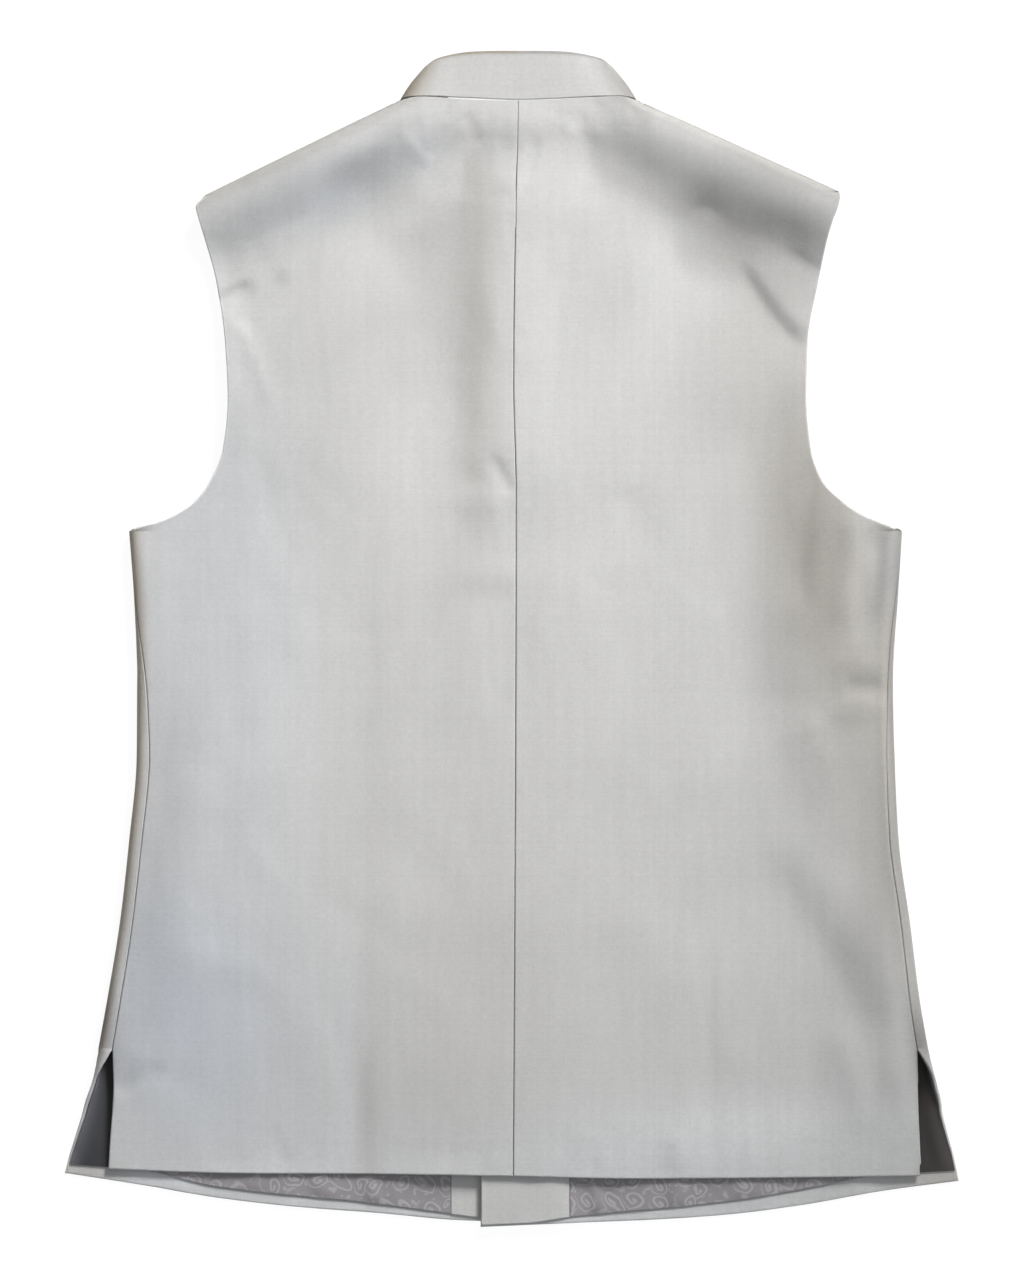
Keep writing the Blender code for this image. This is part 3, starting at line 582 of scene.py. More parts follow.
def paint_shading(patches, x, y):
    """Painted light and shade: how much darker and how much warmer the patches paint the cloth at each
    place.
    """
    tint = np.zeros((*np.broadcast(x, y).shape, 2))
    for patch in patches:
        turn = math.radians(patch.turn)
        out = (x - patch.x) * math.cos(turn) + (y - patch.y) * math.sin(turn)
        up = (y - patch.y) * math.cos(turn) - (x - patch.x) * math.sin(turn)
        share = np.exp(-((out / patch.wide) ** 2) - (up / patch.tall) ** 2)
        tint += share[..., None] * np.array([patch.darker, patch.warmer])
    return tint


def crown(x, y):
    """Height of the back's outer face, away from its rounded edges."""
    line = np.where(x < NECK_CENTRE, fold_line(LEFT, y), fold_line(RIGHT, y))
    outward = between(np.abs(x) / line, LEVEL_BLEND_FROM, LEVEL_BLEND_TO)
    middle = read(LEVELS, "middle", y)
    outer = read(LEVELS, "outer", y)
    at_side = np.where(x < NECK_CENTRE, side_line(LEFT, y), side_line(RIGHT, y))
    inside = between(at_side - np.abs(x), CREASE_EDGE_FROM, CREASE_EDGE_TO)
    inside = np.maximum(inside, smooth((VENT_TOP_Y - y) / VENT_EDGE_OVER))
    raised = creased(CREASES, x, y) + creased(RIPPLES, x, y)
    height = middle + (outer - middle) * outward + inside * raised
    height = LEAST_HEIGHT + np.logaddexp(0.0, (height - LEAST_HEIGHT) / LEAST_SOFT) * LEAST_SOFT
    return height + inside * creased(SHARP_CREASES, x, y)


def ground(side, x, y):
    """Height of a front's outer face: flat on the ground, raised where layers or buttons lie under it."""
    lifted = between(y, LIFT_FROM_Y, LIFT_TO_Y)
    if side == LEFT:
        height = BUTTON_LIFT * lifted
    else:
        height = HEM_LAYERS + (PLACKET_LAYERS - HEM_LAYERS) * lifted
    layered = height * (1 - between(side * x, PLACKET_FLAT, PLACKET_SLOPE_END))
    clear = between(side * x, PLACKET_CLEAR_FROM, PLACKET_CLEAR_TO)
    return layered + clear * (creased(FRONT_CREASES, x, y) + creased(FRONT_RIPPLES, x, y))


def quarter(width, height):
    """Length of a quarter of an ellipse."""
    return math.pi / 2 * np.sqrt((width * width + height * height) / 2)


def fold_reach(side, y):
    """Length of cloth from the fold's outermost line to the end of its rounded part."""
    width = roll(side, y)
    return quarter(width, crown(side * (fold_line(side, y) - width), y) / 2)


def cloth_fold(side, y):
    """Where the fold's outermost line lies in the cloth, measured along it from the middle."""
    return fold_line(side, y) - roll(side, y) + fold_reach(side, y)


def roll_profile(square):
    """Profile of a fold's rounded part, from its outermost line: how far along, out and up, as shares."""
    angle = np.linspace(0.0, math.pi / 2, PROFILE_STEPS)
    out = np.cos(angle) ** square
    up = np.sin(angle) ** square
    run = np.concatenate([[0.0], np.cumsum(np.hypot(np.diff(out), np.diff(up)))])
    return {"run": run / run[-1], "out": out, "up": up}


ROLL_PROFILES = {"side": roll_profile(SIDE_SQUARE), "shoulder": roll_profile(SHOULDER_SQUARE)}


def on_roll(side, y, value, known, wanted):
    """Reads one column of the fold's profile where another has a value, at the side or the shoulder."""
    answers = []
    for profile in (ROLL_PROFILES["shoulder"], ROLL_PROFILES["side"]):
        order = np.argsort(profile[known])
        answers.append(np.interp(value, profile[known][order], profile[wanted][order]))
    return np.where(shoulder_line(side, y) < side_line(side, y), *answers)


def skin(side, y, s):
    """x and z of the garment's outer face, s along the cloth from the fold's outermost line.

    s is over 0 on the back's side of the fold, and under 0 on the front's.
    """
    width = roll(side, y)
    line = fold_line(side, y)
    middle = crown(side * (line - width), y) / 2
    reach = quarter(width, middle)
    run = np.minimum(np.abs(s) / reach, 1.0)
    out = on_roll(side, y, run, "run", "out")
    x = side * (line - width * (1 - out) - np.maximum(np.abs(s) - reach, 0.0))
    outer = np.where(s > 0, crown(x, y), ground(side, x, y))
    return x, middle + (outer - middle) * on_roll(side, y, run, "run", "up")


def along_cloth(side, y, half_width):
    """How far along the cloth from the fold's outermost line a place at this half width lies."""
    width = roll(side, y)
    inset = np.maximum(fold_line(side, y) - half_width, 0.0)
    reach = fold_reach(side, y)
    turned = reach * on_roll(side, y, 1 - np.minimum(inset / width, 1.0), "out", "run")
    return np.where(inset >= width, reach + inset - width, turned)


def curled(side, y, w):
    """x and z of a front below the vent's top, w along the cloth past the line where it starts to curl."""
    turn = np.radians(np.maximum(read(VENTS, "curl", y), LEAST_CURL))
    line = read(VENTS, "line_" + SIDE_NAME[side], y)
    reach = math.pi * SIDE_ROLL
    radius = reach / turn
    angle = np.clip(w, 0.0, reach) / radius
    rest = np.maximum(w - reach, 0.0)
    out = radius * np.sin(angle) + rest * np.cos(angle)
    up = radius * (1 - np.cos(angle)) + rest * np.sin(angle)
    x = side * (line + np.where(w > 0, out, w))
    return x, ground(side, x, y) + np.where(w > 0, up, 0.0)


def armhole(side, y, front):
    """Half width of a panel's armhole edge."""
    inset = read(ARMHOLES, "front_in", y) if front else 0.0
    return read(ARMHOLES, SIDE_NAME[side], y) - inset


def neckline(y):
    """Half width of the front neckline about the neck's centre."""
    drop = np.clip((NECK_TOP_Y - y) / NECK_DEPTH, 0.0, 1.0)
    return NECK_HALF_WIDTH * np.sqrt(1 - drop * drop)


def lower_edge(x, hem, rises=None):
    """Height of a hem along its width, or of the edge of a lining or facing above it."""
    height = read(hem, "y", x)
    return height + read(rises, "rise", x) if rises else height


def above_edge(points, hem, rises=None):
    """How far points lie above a hem, or above the edge of a lining or facing."""
    return points[..., 1] - lower_edge(points[..., 0], hem, rises)


def hem_bent(row_y, x, hem, rises=None):
    """Height of a row near the hem, bent so that the lowest row follows the hem's own curve."""
    share = np.maximum((row_y - HEM_FROM_Y) / (HEM_ROW_Y - HEM_FROM_Y), 0.0)
    return np.where(share > 0, HEM_FROM_Y + (lower_edge(x, hem, rises) - HEM_FROM_Y) * share, row_y)


def graded(start, end, first, last, most, count=None):
    """Places from start to end, whose steps grow from the first one and shrink to the last one."""
    fine = np.linspace(0.0, 1.0, GRADING_STEPS + 1) * (end - start)
    step = np.minimum(most, np.minimum(first + GROWTH * fine, last + GROWTH * (fine[-1] - fine)))
    passed = np.concatenate([[0.0], np.cumsum(np.diff(fine) * (1 / step[:-1] + 1 / step[1:]) / 2)])
    if count is None:
        count = math.ceil(passed[-1])
    return start + np.interp(np.linspace(0.0, passed[-1], count + 1), passed, fine)


def joined(*stretches):
    """One list of places from several stretches that share their ends."""
    return np.concatenate([stretches[0]] + [stretch[1:] for stretch in stretches[1:]])


def evened(y, values):
    """Values along the rows, each blended with those of the rows nearby."""
    weights = np.exp(-(((y[:, None] - y) / EVEN_OVER) ** 2)) * np.gradient(y)
    return weights @ values / weights.sum(axis=1)


def columns(y, outer, inner, slant, most, count):
    """Places across each row, from its outer edge in to its inner one, close together at both.

    At a sharp corner of an edge only the places near it follow it. The others stay in line.
    """
    even_outer = evened(y, outer)
    even_inner = evened(y, inner)
    rows = []
    for start, end, lean in zip(even_outer, even_inner, evened(y, slant)):
        rows.append(start - graded(0.0, start - end, FIRST_STEP * lean, FIRST_STEP, most, count))
    u = np.array(rows)
    near_outer = 1 - smooth((even_outer[:, None] - u) / CORNER_REACH)
    near_inner = 1 - smooth((u - even_inner[:, None]) / CORNER_REACH)
    return u + (outer - even_outer)[:, None] * near_outer + (inner - even_inner)[:, None] * near_inner


def edge_slant(y, edge):
    """How much longer the way along a row to its edge is than the way straight to it."""
    return np.minimum(np.hypot(1.0, np.gradient(edge, y)), EDGE_SLANT_MOST)


def body_rows(step):
    """Rows from the hem up to the shoulder's corner, in stretches that are fine at edges."""
    return (
        graded(HEM_ROW_Y, HEM_FROM_Y, 0.1, step, step),
        graded(HEM_FROM_Y, VENT_TOP_Y, step, 0.8, step),
        graded(VENT_TOP_Y, UNDERARM_Y, 0.8, 0.2, step),
        graded(UNDERARM_Y, CORNER_Y, 0.06, 1.3, 1.3),
        graded(CORNER_Y, UPRIGHT_Y, 1.3, 2.4, 2.4),
        graded(UPRIGHT_Y, SHOULDER_FROM_Y, 2.4, 2.0, step),
    )


# The last three numbers of each stretch are its first step, its last step and the most
BACK_ROWS = joined(
    *body_rows(BACK_STEP),
    graded(SHOULDER_FROM_Y, SHOULDER_TO_Y, 1.2, 1.2, 1.2),
    graded(SHOULDER_TO_Y, NECK_BEND_Y, 1.2, 2.0, 2.0),
    graded(NECK_BEND_Y, NECK_TOP_Y, 2.0, FIRST_STEP, 2.0),
)
FRONT_ROWS = joined(
    *body_rows(FRONT_STEP),
    graded(SHOULDER_FROM_Y, NECK_BOTTOM_Y, 2.0, 0.3, 1.4),
    graded(NECK_BOTTOM_Y, SHOULDER_TO_Y, 0.05, 1.2, 1.2),
    graded(SHOULDER_TO_Y, NECK_TIP_Y, 1.2, 0.4, FRONT_STEP),
)

# A grid of points on a cloth's outer face. cloth holds each point's place in the flat cloth, tint how much
# darker and warmer it is painted to stand in for shade, or lighter for light, and draw_out and draw_in how
# far its faces draw in at edges and seams
Grid = namedtuple("Grid", "points cloth tint draw_out draw_in")
# What sets backs and fronts apart: how their points are placed, their hem, their mesh, and how far the
# layers beside their side seam and their inner seam push the cloth out
Panel = namedtuple("Panel", "points_at hem step count side_puff inner_puff")


def turned(distance, radius):
    """How far the faces of a turned edge draw in, to make it half round."""
    inside = np.clip(radius - distance, 0.0, radius)
    return radius - np.sqrt(np.maximum(radius**2 - inside**2, 0.0))


def sunk(distance, puff, depth=SEAM_DEPTH):
    """How far a seam draws the outer face in, and puff how far the layers beside it push it out."""
    groove = depth * np.clip(1 - distance / SEAM_WIDTH, 0.0, 1.0) ** 2
    return groove - puff * np.exp(-(((distance - PUFF_AT) / PUFF_WIDTH) ** 2))


def painted_seam_shade(distance):
    """Painted shade in a seam's groove: its line is made darker than the cloth beside it."""
    return SEAM_DARKER * np.clip(1 - distance / SEAM_DARK_WIDTH, 0.0, 1.0)


def back_at(side, row_y, u):
    """Points of a back's outer face, at rows and at places in the cloth measured from the middle."""
    x, z = skin(side, row_y, cloth_fold(side, row_y) - u)
    y = np.broadcast_to(row_y, u.shape).copy()
    beside_vent = np.broadcast_to(row_y < VENT_TOP_Y, u.shape)
    x = np.where(beside_vent, side * u, x)
    y = np.where(beside_vent, hem_bent(row_y, x, BACK_HEM), y)
    share = np.clip((row_y - NECK_BEND_Y) / (NECK_TOP_Y - NECK_BEND_Y), 0.0, 1.0)
    neck = read(NECK_SEAM, "y", x) - SEAM_GAP / 2
    y = np.where(share > 0, NECK_BEND_Y + (neck - NECK_BEND_Y) * share, y)
    z = np.where(beside_vent, crown(x, y), z)
    return np.stack([x, y, z], axis=-1)


def flat_places(side, u, points):
    """Where points lie in the flat cloth."""
    return np.stack([side * u, points[..., 1]], axis=-1)


def panel_grid(panel, side, y, outer, inner, cut, inner_open):
    """The outer face of a back or front, each row from its outer edge to its inner one.

    cut is how far the armhole is cut in, and inner_open marks the rows whose inner edge isn't sewn.
    The grid comes with how far its points lie from both edges, and the rows whose outer one isn't sewn.
    """
    at_armhole = (y > UNDERARM_Y) & (cut > SEAM_GAP / 2)
    outer_open = ((y < VENT_TOP_Y) | at_armhole)[:, None]
    inner_open = inner_open[:, None]
    slant = np.where(at_armhole, edge_slant(y, outer), 1.0)
    u = columns(y, outer, inner, slant, panel.step, panel.count)
    points = panel.points_at(side, y[:, None], u)
    to_outer = (outer[:, None] - u) / slant[:, None]
    to_inner = u - inner[:, None]
    free = np.maximum(turned(to_outer, TURN) * outer_open, turned(above_edge(points, panel.hem), TURN))
    free = np.maximum(free, turned(to_inner, TURN) * inner_open)
    sewn = sunk(to_outer, panel.side_puff, SIDE_SEAM_DEPTH) * ~outer_open
    sewn = sewn + sunk(to_inner, panel.inner_puff) * ~inner_open
    tint = paint_shading(PAINTED_SHADING_PATCHES, points[..., 0], points[..., 1]) + painted_fold_shade(side, y, u)
    grid = Grid(points, flat_places(side, u, points), tint, np.maximum(free, sewn), free)
    return grid, to_outer, to_inner, outer_open


def back_grid(side):
    """The outer face of one back, from its outer edge to the centre back seam."""
    y = BACK_ROWS
    vent = y < VENT_TOP_Y
    fold = cloth_fold(side, y)
    edge_y = hem_bent(y, side * VENT_EDGE_X, BACK_HEM)
    cut = along_cloth(side, y, armhole(side, y, False))
    outer = fold - np.maximum(cut, SEAM_GAP / 2)
    outer = np.where(y <= UNDERARM_Y, fold - read(SIDE_SEAMS, SIDE_NAME[side], y) - SEAM_GAP / 2, outer)
    outer = np.where(vent, read(VENTS, "back_" + SIDE_NAME[side], edge_y), outer)
    inner = side * read(CENTRE_BACK, "x", y) + SEAM_GAP / 2
    panel = Panel(back_at, BACK_HEM, BACK_STEP, BACK_COLUMNS, 0.0, SEAM_PUFF)
    inner_open = np.zeros(len(y), bool)
    grid, to_outer, to_inner, outer_open = panel_grid(panel, side, y, outer, inner, cut, inner_open)
    # Painted shade along both seams and down the back's vent edge, and a painted highlight along its armhole
    # edge on the left
    near_edge = np.clip(1 - to_outer / EDGE_PALE_WIDTH, 0.0, 1.0)
    edge_darker = np.where(vent[:, None], VENT_EDGE_DARKER[side], -EDGE_PALER[side])
    darker = grid.tint[..., 0]
    darker += painted_seam_shade(to_inner) + np.where(outer_open, edge_darker * near_edge, painted_seam_shade(to_outer))
    return grid


def front_at(side, row_y, u, rises=None):
    """Points of a front's outer face, at rows and at places in the cloth measured from the middle."""
    hem = FRONT_HEMS[side]
    edge_y = hem_bent(row_y, side * VENT_EDGE_X, hem, rises)
    vent_x, vent_z = curled(side, edge_y, u - read(VENTS, "line_" + SIDE_NAME[side], edge_y))
    x, z = skin(side, row_y, u - cloth_fold(side, row_y))
    beside_vent = np.broadcast_to(row_y < VENT_TOP_Y, u.shape)
    x = np.where(beside_vent, vent_x, x)
    z = np.where(beside_vent, vent_z, z)
    y = np.where(beside_vent, hem_bent(row_y, x, hem, rises), row_y)
    return np.stack([x, y, z], axis=-1)


def front_cut(side, y):
    """How far along the cloth a front's armhole is cut in from the fold."""
    return along_cloth(side, y, armhole(side, y, True))


def front_outer(side, y, rises=None):
    """Where a front's outer edge lies in its cloth: at its vent, its seam or its armhole."""
    name = SIDE_NAME[side]
    fold = cloth_fold(side, y)
    edge_y = hem_bent(y, side * VENT_EDGE_X, FRONT_HEMS[side], rises)
    vent = sum(read(VENTS, column + name, edge_y) for column in ("line_", "strip_"))
    outer = fold - np.maximum(front_cut(side, y), SEAM_GAP / 2)
    outer = np.where(y <= UNDERARM_Y, fold + read(SIDE_SEAMS, name, y) - SEAM_GAP / 2, outer)
    return np.where(y < VENT_TOP_Y, vent, outer)


def front_inner(side, y):
    """Half width of a front's inner edge: past the centre, or on the neckline above it."""
    return np.where(y <= NECK_BOTTOM_Y, -FRONT_OVERLAP, side * NECK_CENTRE + neckline(y))


def front_grid(side):
    """The outer face of one front, from its outer edge to its inner one."""
    y = FRONT_ROWS
    panel = Panel(front_at, FRONT_HEMS[side], FRONT_STEP, FRONT_COLUMNS, STRIP_PUFF, 0.0)
    outer, inner = front_outer(side, y), front_inner(side, y)
    return panel_grid(panel, side, y, outer, inner, front_cut(side, y), y <= NECK_BOTTOM_Y)[0]


# The lining inside the vents is painted darker and plain as shade, warmer on the right and cooler on the
# left, blackest under the back's edge and painted paler by the front's edge
VENT_DARK = 0.88
VENT_DARK_FROM = 254.0
VENT_DARK_OVER = 16.0
VENT_WARM = {LEFT: -3.0, RIGHT: 3.4}
VENT_PALER = {LEFT: 0.30, RIGHT: 0.12}
VENT_PALE_WIDTH = 12.0
VENT_BLACK = {LEFT: 0.11, RIGHT: 0.06}
VENT_BLACK_TO = 271.0
VENT_BLACK_OVER = 7.0
LAID_LOOSE = 5.0
LAID_ROWS = joined(
    graded(HEM_ROW_Y, HEM_FROM_Y, 0.1, LAID_STEP, LAID_STEP),
    graded(HEM_FROM_Y, VENT_TOP_Y, LAID_STEP, 0.8, LAID_STEP),
    graded(VENT_TOP_Y, LINED_TO_Y, 0.8, 0.3, LAID_STEP),
)


def laid_grid(side, outer, inner, rises, count, creases=()):
    """The face of a front that a lining or facing is laid on, between two places in the cloth."""
    y = LAID_ROWS
    u = columns(y, outer, inner, np.ones(len(y)), LAID_STEP, count)
    points = front_at(side, y[:, None], u, rises)
    to_outer = outer[:, None] - u
    to_edge = np.minimum(to_outer, u - inner[:, None])
    to_edge = np.minimum(to_edge, above_edge(points, FRONT_HEMS[side], rises))
    edge = turned(to_edge, LAID_TURN)
    points[..., 2] += smooth(to_edge / LAID_LOOSE) * creased(creases, points[..., 0], points[..., 1])
    tint = np.zeros((*to_edge.shape, 2))
    if creases:
        # Painted shade inside the vents, blackest under the back's edge, with painted light by the front's
        # edge
        half_width = np.abs(points[..., 0])
        darker = VENT_DARK * smooth((half_width - VENT_DARK_FROM) / VENT_DARK_OVER)
        under_back = 1 - smooth((half_width - VENT_BLACK_TO) / VENT_BLACK_OVER)
        darker *= 1 + VENT_BLACK[side] / VENT_DARK * under_back
        darker -= VENT_PALER[side] * (1 - smooth(to_outer / VENT_PALE_WIDTH))
        tint = np.stack([darker, VENT_WARM[side] * darker], axis=-1)
    return Grid(points, flat_places(side, u, points), tint, edge, edge)


def on_curve(column, place):
    """Reads one column of the collar's rows on a smooth curve, place counted in rows."""
    values = np.array([getattr(band, column) for band in COLLAR_BANDS], float)
    mirrored = -1 if column.endswith("out") else 1
    padded = np.concatenate([[mirrored * values[1]], values, values[-1:]])
    i = np.minimum(place.astype(int), len(values) - 2)
    t = place - i
    a, b, c, d = padded[i], padded[i + 1], padded[i + 2], padded[i + 3]
    return b + t / 2 * (c - a + t * (2 * a - 5 * b + 4 * c - d + t * (3 * (b - c) + d - a)))


def inside_neckline(x, y):
    """Draws points of the collar's seam in to lie just inside the front neckline."""
    down = (NECK_TOP_Y - y) / (NECK_DEPTH - COLLAR_SEAM_IN)
    across = (x - NECK_CENTRE) / (NECK_HALF_WIDTH - COLLAR_SEAM_IN)
    beyond = np.where(down > 0, np.maximum(np.hypot(across, down), 1.0), 1.0)
    return NECK_CENTRE + (x - NECK_CENTRE) / beyond, NECK_TOP_Y - (NECK_TOP_Y - y) / beyond


COLLAR_PLACES = graded(0.0, len(COLLAR_BANDS) - 1.0, 0.08, 0.003, 0.08)
COLLAR_COUNT = 26
COLLAR_DEEP = 31.0


def collar_side(side):
    """The outer face of half the collar: a row at each place, from its seam to its top edge."""
    place = COLLAR_PLACES
    lift = COLLAR_END_RISE[side] * smooth(place - COLLAR_RISE_PLACE)
    base_x = NECK_CENTRE + side * on_curve("base_out", place)
    base_y = on_curve("base_y", place)
    seam_y = read(NECK_SEAM, "y", base_x) + COLLAR_SEAM_UP
    base_y = np.where(base_y > NECK_TOP_Y + SEAM_GAP, np.maximum(base_y, seam_y), base_y)
    base_x, base_y = inside_neckline(base_x, base_y)
    base = np.stack([base_x, base_y, on_curve("base_z", place) + lift], axis=-1)
    top_x = NECK_CENTRE + side * on_curve("top_out", place)
    full = COLLAR_FULL[side] * smooth(1 - np.abs(place - COLLAR_FULL_PLACE) / COLLAR_FULL_SPREAD)
    top = np.stack([top_x, on_curve("top_y", place), on_curve("top_z", place) + lift + full], axis=-1)
    across = graded(0.0, COLLAR_DEEP, FIRST_STEP, FIRST_STEP, BACK_STEP, COLLAR_COUNT) / COLLAR_DEEP
    points = base[:, None] + (top - base)[:, None] * across[None, :, None]
    bow = COLLAR_BOW * smooth(1 - np.abs(place - COLLAR_SIDE_PLACE) / COLLAR_BOW_SPREAD)
    points[..., 0] += side * bow[:, None] * np.sin(math.pi * across)[None, :]
    return points, across


def collar_grid():
    """The outer face of the collar, from the left front end round the back to the right."""
    left, across = collar_side(LEFT)
    right = collar_side(RIGHT)[0]
    points = np.concatenate([left[::-1], right[1:]])
    collar_place = np.concatenate([-COLLAR_PLACES[::-1], COLLAR_PLACES[1:]])
    middle = points[:, COLLAR_COUNT // 2]
    run = np.concatenate([[0.0], np.cumsum(np.linalg.norm(np.diff(middle, axis=0), axis=1))])
    to_base = across[None, :] * COLLAR_DEEP + np.zeros((len(run), 1))
    to_top = COLLAR_DEEP - to_base
    to_end = np.minimum(run, run[-1] - run)[:, None] + np.zeros_like(to_base)
    free = np.maximum(turned(to_top, COLLAR_TURN), turned(to_end, COLLAR_TURN))
    sewn = sunk(to_base, COLLAR_PUFF)
    cloth = np.stack([run[:, None] + np.zeros_like(to_base), to_base], axis=-1)
    # Painted shade: the collar's top edge and its sides, where they roll down, are made darker and warmer
    to_side = np.abs(COLLAR_RIM_PLACE - np.abs(collar_place)) / COLLAR_RIM_SPREAD
    darker, warmer = (
        np.where(collar_place < 0, rim[LEFT], rim[RIGHT])[:, None] for rim in (COLLAR_DARKER, RIM_WARMER)
    )
    tint = painted_rim_shade(np.minimum(to_top / COLLAR_RIM_WIDE, to_side[:, None]), darker, warmer)
    return Grid(points, cloth, tint, np.maximum(free, sewn), free)


def outward(points, towards):
    """Unit normals of a grid, on the side that its middle row turns to a vector, and that side's sign."""
    run = np.gradient(points, axis=0)
    across = np.gradient(points, axis=1)
    normals = np.cross(across, run)
    normals /= np.maximum(np.linalg.norm(normals, axis=-1, keepdims=True), 1e-9)
    sign = 1.0 if (normals[len(normals) // 2] @ np.array(towards, float)).mean() > 0 else -1.0
    return normals * sign, sign


def shell(name, grid, towards, thick, materials, under=0.0, lined=None):
    """Makes a closed thin piece of cloth from a grid on its outer face.

    under moves the whole piece in, to lie on the inside of another. lined marks the places whose
    inner face takes the second material.
    """
    normals, sign = outward(grid.points, towards)
    outer = grid.points - normals * (under + grid.draw_out)[..., None]
    inner = grid.points - normals * (under + thick - grid.draw_in)[..., None]
    rows, count = grid.points.shape[:2]
    number = np.arange(rows * count).reshape(rows, count)
    quads = np.stack([number[:-1, :-1], number[:-1, 1:], number[1:, 1:], number[1:, :-1]], axis=-1)
    quads = quads.reshape(-1, 4)
    backs = quads[:, ::-1] + rows * count
    edge = [number[0, :-1], number[:-1, -1], number[-1, :0:-1], number[:0:-1, 0]]
    edge = np.concatenate(edge)
    onward = np.roll(edge, -1)
    rim = np.stack([edge, edge + rows * count, onward + rows * count, onward], axis=-1)
    faces = np.concatenate([quads, backs, rim])
    if sign < 0:
        faces = faces[:, ::-1]
    points = np.concatenate([outer.reshape(-1, 3), inner.reshape(-1, 3)])
    kinds = np.zeros(len(faces), np.int32)
    if lined is not None:
        kinds[len(quads) : 2 * len(quads)] = lined[:-1, :-1].ravel()
    places = {"cloth": grid.cloth * MM, "tint": grid.tint}
    places = {key: np.concatenate([values.reshape(-1, 2)] * 2) for key, values in places.items()}
    return add_mesh(name, points, faces.tolist(), materials, kinds, places)


def add_object(name, data):
    """Puts a mesh, camera or light in the scene."""
    thing = bpy.data.objects.new(name, data)
    bpy.context.scene.collection.objects.link(thing)
    return thing


def add_mesh(name, points, faces, materials, kinds=None, places=()):
    """Makes one smooth mesh object from points in millimetres, with values that its materials read."""
    mesh = bpy.data.meshes.new(name)
    mesh.from_pydata((points * MM).tolist(), [], faces)
    for material in materials:
        mesh.materials.append(material)
    if kinds is not None:
        mesh.polygons.foreach_set("material_index", kinds)
    mesh.shade_smooth()
    for key in places:
        spread = np.concatenate([places[key], np.zeros((len(points), 1))], axis=1)
        attribute = mesh.attributes.new(key, "FLOAT_VECTOR", "POINT")
        attribute.data.foreach_set("vector", spread.astype(np.float32).ravel())
    return add_object(name, mesh)


# Buttons and buttonholes down the centre front
BUTTON_RADIUS = 10.0
BUTTON_THICK = 3.0
BUTTON_RIM = 1.6
BUTTON_DISH = 0.8
BUTTON_CORNER = 0.8
BUTTON_SIDES = 64
BUTTON_TOP_Y = 250.0
BUTTON_SPACING = 85.0
BUTTON_COUNT = 6
HOLE_AT = 1.9
HOLE_RADIUS = 0.95
HOLE_SIDES = 20
SHARP_FROM = 35.0
THREAD_RADIUS = 0.27
THREAD_LOW = 0.50
SLIT_FROM_X = -20.0
SLIT_TO_X = 3.0
SLIT_HALF_WIDTH = 0.35
STITCH_LENGTH = 1.5
STITCH_RADIUS = 0.22
STITCH_SIDES = 6
STITCH_EVERY = 0.48
STITCH_Z = 3.27
STITCH_BEND = 0.04
STITCH_END = 0.02
STITCH_LEAN = 0.06
STITCH_UNEVEN = 0.08
STITCH_SEED = 400
FAN_HALF_ANGLE = 0.42 * math.pi
FAN_COUNT = 7
FAN_START = 0.3
# The face's slope from the dish to the rim: how far out from the rim's inner edge, and how deep
BUTTON_FACE = ((-BUTTON_DISH, BUTTON_DISH), (-0.3, 0.5), (0.0, 0.12), (0.25, 0.0))
# A thread's bend from a hole onto the dish: how far in from the hole, and how high
THREAD_BEND = ((0.0, BUTTON_THICK), (0.0, BUTTON_DISH + 0.5), (0.3, THREAD_LOW + 0.15), (0.8, THREAD_LOW))
THREAD_SAG = 0.05
# A direction that no thread runs along
NO_THREAD_RUNS = (0.31, 0.92, 0.23)


def ringed(rings):
    """Points and faces of a solid whose rings of points run round it, closed at both ends."""
    count, sides = rings.shape[:2]
    number = np.arange(count * sides).reshape(count, sides)
    onward = np.roll(number, -1, axis=1)
    walls = np.stack([number[:-1], onward[:-1], onward[1:], number[1:]], axis=-1).reshape(-1, 4)
    return rings.reshape(-1, 3), [*walls.tolist(), number[0, ::-1].tolist(), number[-1].tolist()]


def lathe(profile, sides):
    """A solid turned about the Z axis, from a profile of radii and heights."""
    angle = np.arange(sides) * 2 * math.pi / sides
    radius, height = np.array(profile).T[..., None]
    rings = np.broadcast_arrays(radius * np.cos(angle), radius * np.sin(angle), height)
    return ringed(np.stack(rings, axis=-1))


def tube(path, radius, sides=8):
    """A round thread along a path."""
    path = np.array(path, float)
    along = np.gradient(path, axis=0)
    along /= np.linalg.norm(along, axis=1, keepdims=True)
    across = np.cross(along, NO_THREAD_RUNS)
    across /= np.linalg.norm(across, axis=1, keepdims=True)
    angle = (np.arange(sides) * 2 * math.pi / sides)[:, None]
    up = np.cross(along, across)
    return ringed(path[:, None] + radius * (across[:, None] * np.cos(angle) + up[:, None] * np.sin(angle)))


def gathered(parts):
    """Points and faces of several parts as one."""
    points, faces, count = [], [], 0
    for part_points, part_faces in parts:
        points.append(part_points)
        faces += [[count + corner for corner in face] for face in part_faces]
        count += len(part_points)
    return np.concatenate(points), faces


def add_solid(name, points, faces, material):
    """Makes one mesh object whose sharp corners stay sharp."""
    thing = add_mesh(name, points, faces, [material])
    thing.data.set_sharp_from_angle(angle=math.radians(SHARP_FROM))
    return thing


